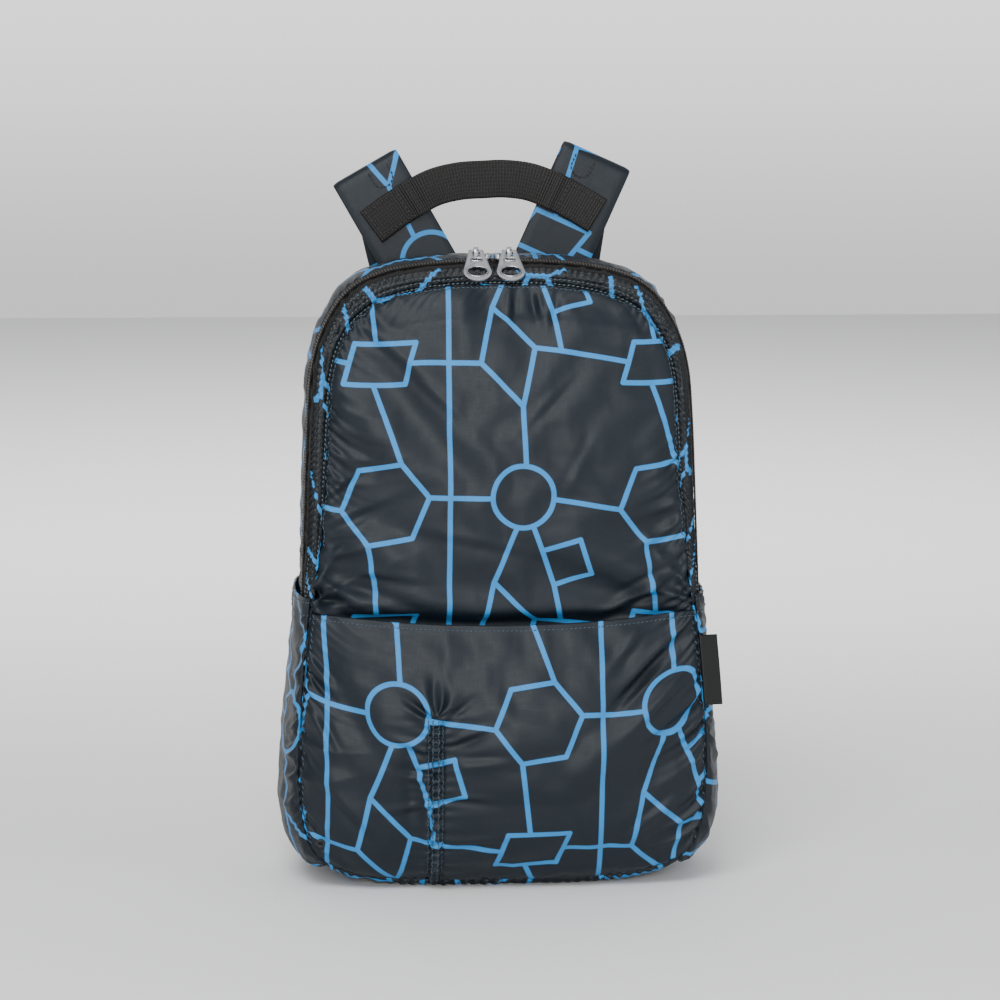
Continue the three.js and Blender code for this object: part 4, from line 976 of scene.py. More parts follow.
# the blank label: a folded tape that stands out of the right front seam
label = {"height": 0.049, "reach": 0.013, "thickness": 0.001, "drop": 0.010, "sweep": 12, "lift": 0.00072}
labelStations = 40
labelTop = bag["pocketHeight"] - label["drop"]
labelZ = np.linspace(labelTop - label["height"], labelTop, labelStations)
labelRoot = np.array([seams(np.array([ringAtHeight("frontZ", z)]))[0][0] for z in labelZ])
labelRoot = labelRoot - inward(labelRoot) * (bag["cloth"] + bag["gap"])
labelRoot[:, 2] = labelZ
sweep = math.radians(label["sweep"])
labelOut = np.array([math.cos(sweep), math.sin(sweep), 0])
labelFace = np.array([math.sin(sweep), -math.cos(sweep), 0])
middleOut = labelRoot + labelOut * label["reach"] / 2
labelTag = ribbonObject(
    "side_label_woven", middleOut + labelFace * label["lift"],
    np.tile(labelOut, (labelStations, 1)), np.tile(labelFace, (labelStations, 1)),
    np.full(labelStations, label["reach"]), flatProfile(label["thickness"]), 14,
)

# the front pocket's zip: its tape lies in the gap behind the pocket's mouth
low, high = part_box("front_pocket_zip")
lip = panels["front_pocket_cloth"]["grid"][-1]
inside = (lip[:, 0] > low.x) & (lip[:, 0] < high.x)
lipLine = lip[inside][::2]
pocketTape = {"depth": 0.007, "below": 0.0024, "thickness": 0.001}
tapeMiddle = lipLine + np.array([0, bag["cloth"] + pocketTape["depth"] / 2, -pocketTape["below"]])
alongMouth = unit(np.gradient(tapeMiddle, axis=0))
upwards = np.tile([0, 0, 1.0], (len(tapeMiddle), 1))
pocketZip = ribbonObject(
    "front_pocket_zip_woven", tapeMiddle, np.cross(upwards, alongMouth), upwards,
    np.full(len(tapeMiddle), pocketTape["depth"]), flatProfile(pocketTape["thickness"]), 12,
)

bagPieces = {
    "front_panel": (frontPanel, "printed_nylon"), "front_pocket": (frontPocket, "printed_nylon"),
    "back_panel": (backPanel, "plain_nylon"), "front_band": (frontBand, "printed_nylon"),
    "main_zip_tape": (zipTape, "zip_black"), "gusset": (gusset, "printed_nylon"),
    "base_gusset": (baseGusset, "printed_nylon"), "handle": (handle, "black_webbing"),
    "side_label": (labelTag, "black_webbing"), "front_pocket_zip": (pocketZip, "zip_black"),
}
for side in ("left", "right"):
    bagPieces[f"side_pocket_{side}"] = (sidePockets[side], "printed_nylon")
    bagPieces[f"strap_{side}"] = (straps[side], "printed_nylon")
    bagPieces[f"webbing_{side}"] = (webbings[side], "black_webbing")
    bagPieces[f"strap_tab_{side}"] = (tabs[side], "black_webbing")


def linear(hexColour):  # an sRGB hex colour as the linear values that Blender wants
    channels = [int(hexColour[i : i + 2], 16) / 255 for i in (1, 3, 5)]
    return [c / 12.92 if c <= 0.04045 else ((c + 0.055) / 1.055) ** 2.4 for c in channels] + [1]


def add(tree, kind, inputs=None, **settings):  # a node with its settings, values and links
    node = tree.nodes.new(kind)
    for key, value in settings.items():
        setattr(node, key, value)
    for key, value in (inputs or {}).items():
        if isinstance(value, bpy.types.NodeSocket):
            tree.links.new(value, node.inputs[key])
        else:
            node.inputs[key].default_value = value
    return node


def maths(tree, operation, *values, **settings):
    return add(tree, "ShaderNodeMath", dict(enumerate(values)), operation=operation, **settings).outputs[0]


def vectorMaths(tree, operation, *values):
    return add(tree, "ShaderNodeVectorMath", dict(enumerate(values)), operation=operation).outputs


def scaledBy(tree, vector, scale):
    values = {0: vector, "Scale": scale}
    return add(tree, "ShaderNodeVectorMath", values, operation="SCALE").outputs[0]


def noise(tree, vector, scale, **more):
    return add(tree, "ShaderNodeTexNoise", {"Vector": vector, "Scale": scale, **more}).outputs["Fac"]


def wave(tree, direction, vector, pitch, **more):  # a band wave repeats every pi / 10 of its scaled place
    values = {"Vector": vector, "Scale": math.pi / 10 / pitch, **more}
    return add(tree, "ShaderNodeTexWave", values, bands_direction=direction).outputs["Fac"]


def ranged(tree, value, before=(0.0, 1.0), after=(0.0, 1.0), kind="LINEAR"):
    ends = {"From Min": before[0], "From Max": before[1], "To Min": after[0], "To Max": after[1]}
    values = {"Value": value, **ends}
    return add(tree, "ShaderNodeMapRange", values, interpolation_type=kind).outputs["Result"]


def blend(tree, factor, low, high):  # between two colours, each a hex colour or a socket
    low, high = (end if isinstance(end, bpy.types.NodeSocket) else linear(end) for end in (low, high))
    return add(tree, "ShaderNodeMix", {"Factor": factor, 6: low, 7: high}, data_type="RGBA").outputs[2]


def bump(tree, height, strength, distance, under=None):
    values = {"Strength": strength, "Distance": distance, "Height": height}
    if under is not None:
        values["Normal"] = under
    return add(tree, "ShaderNodeBump", values).outputs["Normal"]


def feed(tree, shader, **sockets):
    for key, value in sockets.items():
        tree.links.new(value, shader.inputs[key.replace("_", " ")])


def startMaterial(name, **shaderValues):
    material = bpy.data.materials.new(name)
    material.use_nodes = True
    tree = material.node_tree
    shader = tree.nodes["Principled BSDF"]
    for key, value in shaderValues.items():
        shader.inputs[key.replace("_", " ")].default_value = value
    return material, tree, shader


# the print: an all-over net of light blue lines, its strokes in millimetres on one repeat of the cloth
printDesign = {"repeat": 190.0, "line": 3.5, "edge": 0.3}


def polygon(x, y, wide, tall, sides, turn):
    angles = [2 * math.pi * i / sides for i in range(sides + 1)]
    cosine, sine = math.cos(math.radians(turn)), math.sin(math.radians(turn))
    corners = [(wide * math.cos(a), tall * math.sin(a)) for a in angles]
    corners = [(x + a * cosine - b * sine, y + a * sine + b * cosine) for a, b in corners]
    return [(*corners[i], *corners[i + 1]) for i in range(sides)]


printStrokes = (
    polygon(-50, 48, 30, 30, 6, 8)
    + polygon(34, -42, 19, 36, 4, 16)
    + polygon(74, 6, 19, 19, 4, 62)
    + [(-78, -60, -36, -60), (-70, -32, -28, -32), (-78, -60, -70, -32), (-36, -60, -28, -32)]
    + [
        (-20.3, 52.2, 23, 51), (65, 50, 110.3, 43.8), (40, 31, 24.1, -7.4), (43.9, -76.6, 46, -117),
        (-61.2, 20.2, -55, -32), (-32, -46, 15.7, -47.2), (52.3, -36.8, 116, -46),
        (-58, -60, -38.8, -114.2), (57.2, 14.9, 51, 32.2), (65.1, -10.8, 70, -39.4), (-6, -95, -6, 95),
    ]
)
printRings = [(44, 52, 21)]


def linePrintGroup():
    group = bpy.data.node_groups.new("lines printed on cloth", "ShaderNodeTree")
    group.interface.new_socket("Flat", in_out="INPUT", socket_type="NodeSocketVector")
    group.interface.new_socket("Line", in_out="OUTPUT", socket_type="NodeSocketFloat")
    flat = scaledBy(group, add(group, "NodeGroupInput").outputs["Flat"], 1000.0)
    half = printDesign["repeat"] / 2
    distances = []

    def shifted(x, y):
        moved = vectorMaths(group, "SUBTRACT", flat, (x, y, 0))[0]
        return vectorMaths(group, "WRAP", moved, (half, half, 1), (-half, -half, -1))[0]

    for x0, y0, x1, y1 in printStrokes:
        at = shifted((x0 + x1) / 2, (y0 + y1) / 2)
        turn = {"Vector": at, "Angle": -math.atan2(y1 - y0, x1 - x0)}
        turned = add(group, "ShaderNodeVectorRotate", turn, rotation_type="Z_AXIS").outputs[0]
        size = vectorMaths(group, "ABSOLUTE", turned)[0]
        past = vectorMaths(group, "SUBTRACT", size, (math.hypot(x1 - x0, y1 - y0) / 2, 0, 0))[0]
        past = vectorMaths(group, "MAXIMUM", past, (0, 0, 0))[0]
        distances.append(vectorMaths(group, "LENGTH", past)["Value"])
    for x, y, radius in printRings:
        far = vectorMaths(group, "LENGTH", shifted(x, y))["Value"]
        distances.append(maths(group, "ABSOLUTE", maths(group, "SUBTRACT", far, radius)))
    nearest = distances[0]
    for distance in distances[1:]:
        nearest = maths(group, "MINIMUM", nearest, distance)
    width, edge = printDesign["line"] / 2, printDesign["edge"]
    mask = ranged(group, nearest, (width + edge, width - edge), kind="SMOOTHSTEP")
    add(group, "NodeGroupOutput", {"Line": mask})
    return group


def nylon(name, cloth, printed, roughness, gathered=0.0):
    # filament nylon taffeta: smooth flat threads give the eye a soft, broad sheen over a dark ground,
    # and the gaps between them swallow part of the shine
    material, tree, shader = startMaterial(name, IOR=1.5, Specular_IOR_Level=0.27, Metallic=0.0)
    flat = add(tree, "ShaderNodeUVMap", uv_map="cut").outputs["UV"]
    clouds = noise(tree, flat, 18.0, Detail=3.0)
    streaks = []
    for stretch in ((1300.0, 90.0, 1.0), (90.0, 1300.0, 1.0)):  # uneven threads, 0.8 mm by 11 mm
        long = vectorMaths(tree, "MULTIPLY", flat, stretch)[0]
        streaks.append(noise(tree, long, 1.0, Detail=1.0))
    slub = maths(tree, "ADD", *streaks)
    shine = ranged(tree, slub, (0.7, 1.3), (roughness - 0.05, roughness + 0.07))
    tone = add(tree, "ShaderNodeMix", {"Factor": 0.5, 2: clouds, 3: slub}).outputs[0]
    tone = maths(tree, "ADD", tone, -0.3, use_clamp=True)
    colour = blend(tree, tone, *cloth)
    if printed:
        ink = blend(tree, tone, *printed)
        line = add(tree, "ShaderNodeGroup", {"Flat": flat}, node_tree=linePrint).outputs["Line"]
        colour = blend(tree, line, colour, ink)
    # the weave's real threads are 0.25 mm apart, too fine to show, so they are drawn 1 mm apart
    weft, fill = (wave(tree, way, flat, 0.001, Distortion=0.4) for way in "XY")
    threads = maths(tree, "MULTIPLY_ADD", slub, 2.5, maths(tree, "ADD", weft, fill))
    crease = noise(tree, flat, 60.0, Detail=3.0, Roughness=0.45)
    rough = bump(tree, crease, 0.22, 0.001)
    if gathered:  # small tight folds across the band, between its stitches
        long = vectorMaths(tree, "MULTIPLY", flat, (430.0, 150.0, 1.0))[0]
        rough = bump(tree, noise(tree, long, 1.0, Detail=2.0, Distortion=0.8), gathered, 0.0009, rough)
    fine = bump(tree, threads, 0.12, 0.0001, rough)
    feed(tree, shader, Roughness=shine, Base_Color=colour, Normal=fine)
    return material


def woven(name, dark, light, pitch, depth, roughness):
    # coarse nylon webbing: ribs across the band break the light into short dull glints; the ribs' tone is
    # painted as well, darker in the grooves and lighter on the crests, as painted shade and highlight over
    # the bump's relief
    values = {"Roughness": roughness, "IOR": 1.53, "Specular_IOR_Level": 0.3, "Metallic": 0.0}
    material, tree, shader = startMaterial(name, **values)
    flat = add(tree, "ShaderNodeUVMap", uv_map="cut").outputs["UV"]
    ribs = wave(tree, "Y", flat, pitch)
    cords = ranged(tree, wave(tree, "X", flat, pitch * 1.3, Distortion=0.6), after=(0.55, 1.0))
    weave = maths(tree, "MULTIPLY", ribs, cords)
    # painted shade and highlight: the colour follows the weave's own relief, dark in its grooves and light
    # on its ribs
    colour = blend(tree, weave, dark, light)
    feed(tree, shader, Base_Color=colour, Normal=bump(tree, weave, 0.8, depth))
    return material


def castZinc():
    # die-cast zinc, tumbled and satin plated: fine pits spread the highlights into a soft grey shine
    material, tree, shader = startMaterial("satin plated cast zinc", Metallic=1.0)
    place = add(tree, "ShaderNodeTexCoord").outputs["Object"]
    grain, tone = noise(tree, place, 2600.0, Detail=2.0), noise(tree, place, 350.0)
    colour = blend(tree, tone, "#a6a8ab", "#8d8f92")
    dull = ranged(tree, tone, after=(0.24, 0.36))
    feed(tree, shader, Base_Color=colour, Roughness=dull, Normal=bump(tree, grain, 0.25, 0.00008))
    return material


def mouldedAcetal():
    # injection-moulded acetal: a fine spark-eroded texture keeps the black dull with a low shine
    material, tree, shader = startMaterial("spark-textured moulded acetal", IOR=1.48, Metallic=0.0)
    place = add(tree, "ShaderNodeTexCoord").outputs["Object"]
    grain = noise(tree, place, 1800.0, Detail=2.0)
    colour = blend(tree, grain, "#17181a", "#222325")
    dull = ranged(tree, grain, after=(0.42, 0.55))
    feed(tree, shader, Base_Color=colour, Roughness=dull, Normal=bump(tree, grain, 0.3, 0.0001))
    return material


linePrint = linePrintGroup()
clothShades, inkShades = ("#0e151b", "#151e26"), ("#2476b3", "#2b82c0")
finishes = {
    "printed_nylon": nylon("printed nylon taffeta", clothShades, inkShades, 0.5),
    "plain_nylon": nylon("plain woven nylon", ("#0b0f13", "#11161a"), None, 0.55),
    "black_webbing": woven("ribbed nylon webbing", "#030303", "#221f1d", 0.002, 0.0006, 0.6),
    "zip_black": woven("woven zip tape", "#030303", "#100d0a", 0.0011, 0.0002, 0.75),
    "cast_zinc": castZinc(),
    "black_plastic": mouldedAcetal(),
}


def finishPiece(obj, slot, body, *nodes):
    obj.data.materials.clear()
    obj.data.materials.append(finishes[slot])
    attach(obj, body)
    if nodes:
        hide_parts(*nodes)


for node, (piece, slot) in bagPieces.items():
    finishPiece(piece, slot, "bag", node)
labelTag.data.materials[0] = woven("woven satin label tape", "#050505", "#101011", 0.0008, 0.0001, 0.42)
# the band's cloth is painted darker than the print's ground elsewhere: painted shade for the shadow its
# own ruffles cast. The ruffles themselves are geometry and bump
bandClothPaintedShade = "#090e12", "#0f161c"
frontBand.data.materials[0] = nylon("gathered nylon taffeta with painted ruffle shade", bandClothPaintedShade, inkShades, 0.42, gathered=0.5)


def plainMesh(obj, name):  # the object with its modifiers applied, as a mesh of its own
    made = bpy.data.meshes.new_from_object(obj.evaluated_get(bpy.context.evaluated_depsgraph_get()))
    made.name = name
    bpy.data.objects.remove(obj)
    return sceneObject(name, made)


def repeatTree():  # small rounded bars at even steps along a path, turned to it and lifted off the cloth
    tree = bpy.data.node_groups.new("bars along a path", "GeometryNodeTree")
    tree.interface.new_socket("Path", in_out="INPUT", socket_type="NodeSocketGeometry")
    for name in ("Pitch", "Length", "Radius", "Turn", "Zigzag", "Lift", "Unevenness"):
        tree.interface.new_socket(name, in_out="INPUT", socket_type="NodeSocketFloat")
    tree.interface.new_socket("Seed", in_out="INPUT", socket_type="NodeSocketInt")
    tree.interface.new_socket("Material", in_out="INPUT", socket_type="NodeSocketMaterial")
    tree.interface.new_socket("Bars", in_out="OUTPUT", socket_type="NodeSocketGeometry")
    start = add(tree, "NodeGroupInput").outputs
    curve = add(tree, "GeometryNodeMeshToCurve", {"Mesh": start["Path"]}).outputs["Curve"]
    steps = {"Curve": curve, "Length": start["Pitch"]}
    even = add(tree, "GeometryNodeResampleCurve", steps, mode="LENGTH").outputs["Curve"]
    outward = add(tree, "GeometryNodeInputNamedAttribute", {"Name": "outward"}, data_type="FLOAT_VECTOR")
    outward = outward.outputs["Attribute"]
    lift = {"Geometry": even, "Offset": scaledBy(tree, outward, start["Lift"])}
    raised = add(tree, "GeometryNodeSetPosition", lift).outputs["Geometry"]
    facing = {"Vector": add(tree, "GeometryNodeInputTangent").outputs["Tangent"]}
    facing = add(tree, "FunctionNodeAlignRotationToVector", facing, axis="X").outputs["Rotation"]
    facing = {"Rotation": facing, "Vector": outward}
    facing = add(tree, "FunctionNodeAlignRotationToVector", facing, axis="Z", pivot_axis="X")
    odd = maths(tree, "MODULO", add(tree, "GeometryNodeInputIndex").outputs["Index"], 2.0)
    way = maths(tree, "MULTIPLY_ADD", odd, 2.0, -1.0)
    swing = maths(tree, "MULTIPLY_ADD", way, start["Zigzag"], start["Turn"])
    less = maths(tree, "MULTIPLY", start["Unevenness"], -1.0)
    chance = {2: less, 3: start["Unevenness"], "Seed": start["Seed"]}
    chance = add(tree, "FunctionNodeRandomValue", chance, data_type="FLOAT").outputs[1]
    spin = {"Axis": (0, 0, 1), "Angle": maths(tree, "ADD", swing, chance)}
    spin = add(tree, "FunctionNodeAxisAngleToRotation", spin).outputs["Rotation"]
    turned = {"Rotation": facing.outputs["Rotation"], "Rotate By": spin}
    turned = add(tree, "FunctionNodeRotateRotation", turned, rotation_space="LOCAL").outputs["Rotation"]
    ball = add(tree, "GeometryNodeMeshUVSphere", {"Segments": 6, "Rings": 5, "Radius": 1.0})
    lying = {"Geometry": ball.outputs["Mesh"], "Rotation": (0, math.pi / 2, 0)}
    lying = add(tree, "GeometryNodeTransform", lying).outputs["Geometry"]
    half, thick = maths(tree, "MULTIPLY", start["Length"], 0.5), start["Radius"]
    size = add(tree, "ShaderNodeCombineXYZ", {"X": half, "Y": thick, "Z": thick}).outputs["Vector"]
    bars = {"Points": raised, "Instance": lying, "Rotation": turned, "Scale": size}
    bars = add(tree, "GeometryNodeInstanceOnPoints", bars).outputs["Instances"]
    bars = {"Geometry": add(tree, "GeometryNodeRealizeInstances", {"Geometry": bars}).outputs["Geometry"]}
    bars = add(tree, "GeometryNodeSetMaterial", {**bars, "Material": start["Material"]})
    add(tree, "NodeGroupOutput", {"Bars": bars.outputs["Geometry"]})
    return tree


barsAlongPath = repeatTree()


def repeated(name, tracks, sizes, material, slot, *nodes):  # each track is (points, outward directions)
    points = np.concatenate([track[0] for track in tracks])
    outward = np.concatenate([track[1] for track in tracks])
    edges, first = [], 0
    for track in tracks:
        edges += [(first + i, first + i + 1) for i in range(len(track[0]) - 1)]
        first += len(track[0])
    mesh = bpy.data.meshes.new(name)
    mesh.from_pydata(points.tolist(), edges, [])
    mesh.attributes.new("outward", "FLOAT_VECTOR", "POINT").data.foreach_set("vector", outward.ravel())
    obj = sceneObject(name, mesh)
    modifier = obj.modifiers.new("bars", "NODES")
    modifier.node_group = barsAlongPath
    values = {**sizes, "Material": material}
    for item in barsAlongPath.interface.items_tree:
        if item.in_out == "INPUT" and item.name in values:
            modifier[item.identifier] = values[item.name]
    made = plainMesh(obj, name)
    made.data.shade_smooth()
    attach(made, "bag")
    if nodes:
        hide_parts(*nodes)
    print("bars:", name, len(made.data.polygons), "faces")
    return made


def panelTrack(name, level, value, rows=True, start=0.0, end=1.0):
    # the line on a panel where a measure reaches a value, station by station, with its outward directions
    grid, normals = panels[name]["grid"], panels[name]["normals"]
    if not rows:
        grid, normals, level = grid.swapaxes(0, 1), normals.swapaxes(0, 1), level.T
    if level[0, -1] < level[0, 0]:
        grid, normals, level = grid[:, ::-1], normals[:, ::-1], level[:, ::-1]
    place = np.array([np.interp(value, row, np.arange(len(row))) for row in level])
    first = np.clip(place.astype(int), 0, level.shape[1] - 2)
    share = (place - first)[:, None]
    station = np.arange(len(level))
    points = mix(grid[station, first], grid[station, first + 1], share)
    outward = unit(mix(normals[station, first], normals[station, first + 1], share))
    kept = slice(int(start * len(points)), max(int(end * len(points)), 2))
    return points[kept], outward[kept]


def bandTrack(route, across, facing, half, marks):  # a line on a band, from distances along and across it
    run = runLength(route)
    marks = np.array(marks, float)
    marks[:, 0] = np.where(marks[:, 0] < 0, run[-1] + marks[:, 0], marks[:, 0])
    steps = runLength(marks)
    fine = np.linspace(0, steps[-1], max(int(steps[-1] / 0.001), 8))
    marks = np.stack([np.interp(fine, steps, marks[:, k]) for k in range(2)], -1)
    at = lambda field: np.stack([np.interp(marks[:, 0], run, field[:, k]) for k in range(3)], -1)
    return leant(at(route) + at(across) * marks[:, 1:] + at(facing) * half), at(facing)


def thread(name, dark, light, roughness):
    # spun polyester sewing thread: its twisted plies show as fine slanting stripes with a dull shine; the
    # stripes' tone is painted, darker between the plies and lighter on them, as painted shade and
    # highlight over the bump
    material, tree, shader = startMaterial(name, Roughness=roughness, IOR=1.54, Metallic=0.0)
    place = add(tree, "ShaderNodeTexCoord").outputs["Object"]
    plies = wave(tree, "DIAGONAL", place, 0.0004, Distortion=1.0)
    # painted shade and highlight: the colour follows the ply relief, dark between the plies and light on
    # them
    feed(tree, shader, Base_Color=blend(tree, plies, dark, light), Normal=bump(tree, plies, 0.5, 0.00006))
    return material


clothThread = thread("slate sewing thread", "#16232c", "#3d5463", 0.6)
# the band's stitches use a paler copy of the slate thread: a painted highlight for the glints along their
# rows
bandThreadPaintedHighlight = thread("slate sewing thread painted paler as highlight", "#22303a", "#64767f", 0.55)
blackThread = thread("black sewing thread", "#090808", "#262220", 0.55)
coilPlastic = thread("drawn nylon zip coil", "#0d0a07", "#231a12", 0.32)

# stitches: lengths and pitches in metres, angles in radians
straight = {
    "Pitch": 0.0031, "Length": 0.0022, "Radius": 0.0004, "Turn": 0.25, "Zigzag": 0.0, "Lift": 0.0001,
    "Unevenness": 0.08, "Seed": 3,
}
zigzag = {**straight, "Pitch": 0.0032, "Length": 0.003, "Turn": 0.0, "Zigzag": 0.4, "Seed": 5}
slanted = {**straight, "Pitch": 0.0042, "Length": 0.0034, "Radius": 0.00045, "Turn": 0.6}
slanted |= {"Lift": 0.00015, "Seed": 7}
webbed = {**straight, "Pitch": 0.0034, "Length": 0.0027, "Radius": 0.00048, "Turn": 0.05}
webbed |= {"Lift": 0.0002, "Seed": 9}

# how far each row of stitches lies from its edge
stitchInset = {"panel": 0.0022, "pocketMouth": 0.0036, "pocketSeam": 0.0032, "sideHem": (0.003, 0.012)}


def edgeTrack(name, edge, inset, **part):  # the line on a panel at one distance from one of its edges
    x, y = panels[name]["x"], panels[name]["y"]
    away = {"left": x, "right": x[:, -1:] - x, "bottom": y, "top": y[-1:] - y}[edge]
    return panelTrack(name, away, inset, rows=edge in ("left", "right"), **part)


bandWide = float(np.median(panels["front_band_cloth"]["y"][-1]))
rows = [edgeTrack("front_band_cloth", "bottom", share * bandWide) for share in bandCut["stitchedAt"]]
bandSizes = {**straight, "Radius": 0.0005, "Length": 0.002, "Pitch": 0.0032, "Lift": 0.0003}
repeated("front_band_stitches", rows, bandSizes, bandThreadPaintedHighlight, "printed_nylon")

panelShows = 0.38  # the share of the front panel's height from which its seams are stitched
seam = [edgeTrack("front_panel_cloth", "top", stitchInset["panel"])]
for edge in ("left", "right"):
    seam.append(edgeTrack("front_panel_cloth", edge, stitchInset["panel"], start=panelShows))
repeated("front_panel_stitches", seam, zigzag, clothThread, "printed_nylon")

mouth = edgeTrack("front_pocket_cloth", "top", stitchInset["pocketMouth"])
repeated("pocket_mouth_stitches", [mouth], straight, clothThread, "printed_nylon")

pocketX = panels["front_pocket_cloth"]["grid"][..., 0]
strip = []
for way in (-1, 1):
    for out in (0.45, 1.15):
        place = pocketStrip["x"] + way * out * pocketStrip["halfWidth"]
        points, outward = panelTrack("front_pocket_cloth", pocketX, place)
        kept = points[:, 2] < pocketStrip["top"]
        strip.append((points[kept][2:], outward[kept][2:]))
stripSizes = {**zigzag, "Pitch": 0.0027, "Length": 0.0029}
repeated("pocket_strip_stitches", strip, stripSizes, clothThread, "printed_nylon")

sideRows = []
for edge in ("left", "right"):
    inset = stitchInset["pocketSeam"]
    sideRows.append(edgeTrack("front_pocket_cloth", edge, inset, start=0.03, end=0.99))
repeated("pocket_seam_stitches", sideRows, slanted, clothThread, "printed_nylon")

hems = []
for side in ("left", "right"):
    for inset in stitchInset["sideHem"]:
        hems.append(edgeTrack(f"side_pocket_{side}_cloth", "right", inset))
repeated("side_pocket_stitches", hems, straight, clothThread, "printed_nylon")

# box stitches hold the handle to the straps
handleAcross = np.cross(handleAlong, handleFacing)
box = {"inset": 0.0032, "length": 0.0285}
halfBox = band["handleWidth"] / 2 - box["inset"]
near, far = box["inset"], box["length"]
corners = [(near, -halfBox), (far, -halfBox), (far, halfBox), (near, halfBox), (near, -halfBox)]
boxes = []
for way in (1, -1):
    marks = [(way * a, b) for a, b in corners]
    boxes.append(bandTrack(handleLine, handleAcross, handleFacing, band["handleThickness"], marks))
repeated("handle_stitches", boxes, webbed, blackThread, "black_webbing")

# a bow of stitches below each strap's fold
bow = {"inwards": 0.0075, "halfWidth": 0.0074, "depth": 0.013, "below": 0.001}
arc = [
    (-math.cos(a) * bow["halfWidth"], bow["depth"] - bow["halfWidth"] * (1 - math.sin(a)))
    for a in np.linspace(0, np.pi, 13)
]
line = [(-bow["halfWidth"], 0), *arc, (bow["halfWidth"], 0)]
marks = [(strapTopLength - bow["below"] - down, out - bow["inwards"]) for out, down in line]
half = band["strapThickness"] / 2
bows = [
    bandTrack(route * flip, across * flip, facing * flip, half, marks) for flip in strapSides.values()
]
bowSizes = {**webbed, "Pitch": 0.003, "Length": 0.0024, "Radius": 0.00055, "Lift": 0.001}
strapThread = thread("black polyester thread", "#020203", "#0d1013", 0.6)
repeated("strap_stitches", bows, bowSizes, strapThread, "printed_nylon")

# the main zip: a low cord with two rows of coil turns on it
coil = {
    "pitch": 0.0021, "rowGap": 0.0031, "cordWidth": 0.0056, "cordHeight": 0.0009,
    "ends": (0.004, 0.996), "steps": 900,
}
coilRings = evenPlaces(*archEnds, np.linspace(*coil["ends"], coil["steps"]))
coilShare = np.full(coil["steps"], bag["zipCoilShare"])
coilLine = wallPoint(coilRings, coilShare)
coilAlong = unit(np.gradient(coilLine, axis=0))
coilAcross = wallPoint(coilRings, coilShare + 0.02) - wallPoint(coilRings, coilShare - 0.02)
coilAcross = unit(coilAcross - coilAlong * (coilAcross * coilAlong).sum(-1, keepdims=True))
coilOut = np.cross(coilAlong, coilAcross)
coilOut *= np.sign((coilOut * -inward(coilLine)).sum())
cordMiddle = coilLine + coilOut * (bag["gap"] + coil["cordHeight"] / 2)
cord = ribbonObject(
    "main_zip_cord", cordMiddle, coilAcross, coilOut, np.full(coil["steps"], coil["cordWidth"]),
    lambda s: 0.5 * coil["cordHeight"] * np.sqrt(np.maximum(1 - s * s, 0.02)), 9,
)
cord.data.materials.append(finishes["zip_black"])
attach(cord, "bag")
turns = []
for way, shift in ((-1, 0), (1, 1)):
    line = cordMiddle + coilAcross * way * coil["rowGap"] / 2
    turns.append((line[shift:], coilOut[shift:]))
coilSizes = {
    "Pitch": coil["pitch"], "Length": 0.0024, "Radius": 0.00062, "Turn": math.pi / 2, "Zigzag": 0.0,
    "Lift": 0.0006, "Unevenness": 0.04, "Seed": 11,
}
repeated("main_zip_turns", turns, coilSizes, coilPlastic, "zip_black", "main_zip_coil")
middleSizes = {**coilSizes, "Length": 0.0014, "Radius": 0.00042, "Turn": 0.0, "Seed": 12}
coilThread = thread("waxed coil thread", "#221c16", "#51463a", 0.45)
repeated("main_zip_thread", [(cordMiddle, coilOut)], middleSizes, coilThread, "zip_black")


def softened(node, name, bevel, slot, body):  # a cast or moulded piece with its sharp edges rounded
    work = bmesh.new()
    work.from_mesh(frame["nodes"][node].data)
    bmesh.ops.remove_doubles(work, verts=work.verts, dist=1e-6)
    bmesh.ops.dissolve_limit(work, angle_limit=math.radians(1), verts=work.verts, edges=work.edges)
    mesh = bpy.data.meshes.new(name)
    work.to_mesh(mesh)
    work.free()
    obj = sceneObject(name, mesh)
    rounded = obj.modifiers.new("rounded edges", "BEVEL")
    rounded.width = bevel
    rounded.segments = 2
    rounded.limit_method = "ANGLE"
    rounded.angle_limit = math.radians(38)
    made = plainMesh(obj, name)
    made.data.shade_smooth()
    finishPiece(made, slot, body, node)
    return made


def rings(name, loops, radius, material, slot, body):  # round rims along closed loops
    around = np.linspace(0, 2 * np.pi, 9)[:-1]
    points, quads, first = [], [], 0
    for loop, up in loops:
        along = unit(np.roll(loop, -1, axis=0) - np.roll(loop, 1, axis=0))
        out = np.cross(along, up)
        sideways = out[:, None] * np.cos(around)[None, :, None]
        ring = loop[:, None] + radius * (sideways + up * np.sin(around)[None, :, None])
        count = len(loop)
        index = first + np.arange(count * 8).reshape(count, 8)
        nextLoop, nextAround = np.roll(index, -1, axis=0), np.roll(index, -1, axis=1)
        both = np.roll(nextLoop, -1, axis=1)
        quads.append(np.stack([index, nextLoop, both, nextAround], -1).reshape(-1, 4))
        points.append(ring.reshape(-1, 3))
        first += count * 8
    mesh = bpy.data.meshes.new(name)
    mesh.from_pydata(np.concatenate(points).tolist(), [], np.concatenate(quads).tolist())
    mesh.shade_smooth()
    outwardFaces(mesh)
    obj = sceneObject(name, mesh)
    obj.data.materials.append(material)
    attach(obj, body)
    return obj


# the pulls: cast plates with raised rims round the slot and the oval hole, on both faces
pull = {
    "length": 0.031, "half": 0.0009, "rim": 0.0006, "edge": 0.00035,
    # each rim's half width, half height, distance below the pull's axis and roundness
    "oval": (0.0072, 0.0053, 0.0218, 1), "slot": (0.0039, 0.0015, 0.0092, 0.7),
}
bevels = {"slider": 0.0004, "lock": 0.0006}


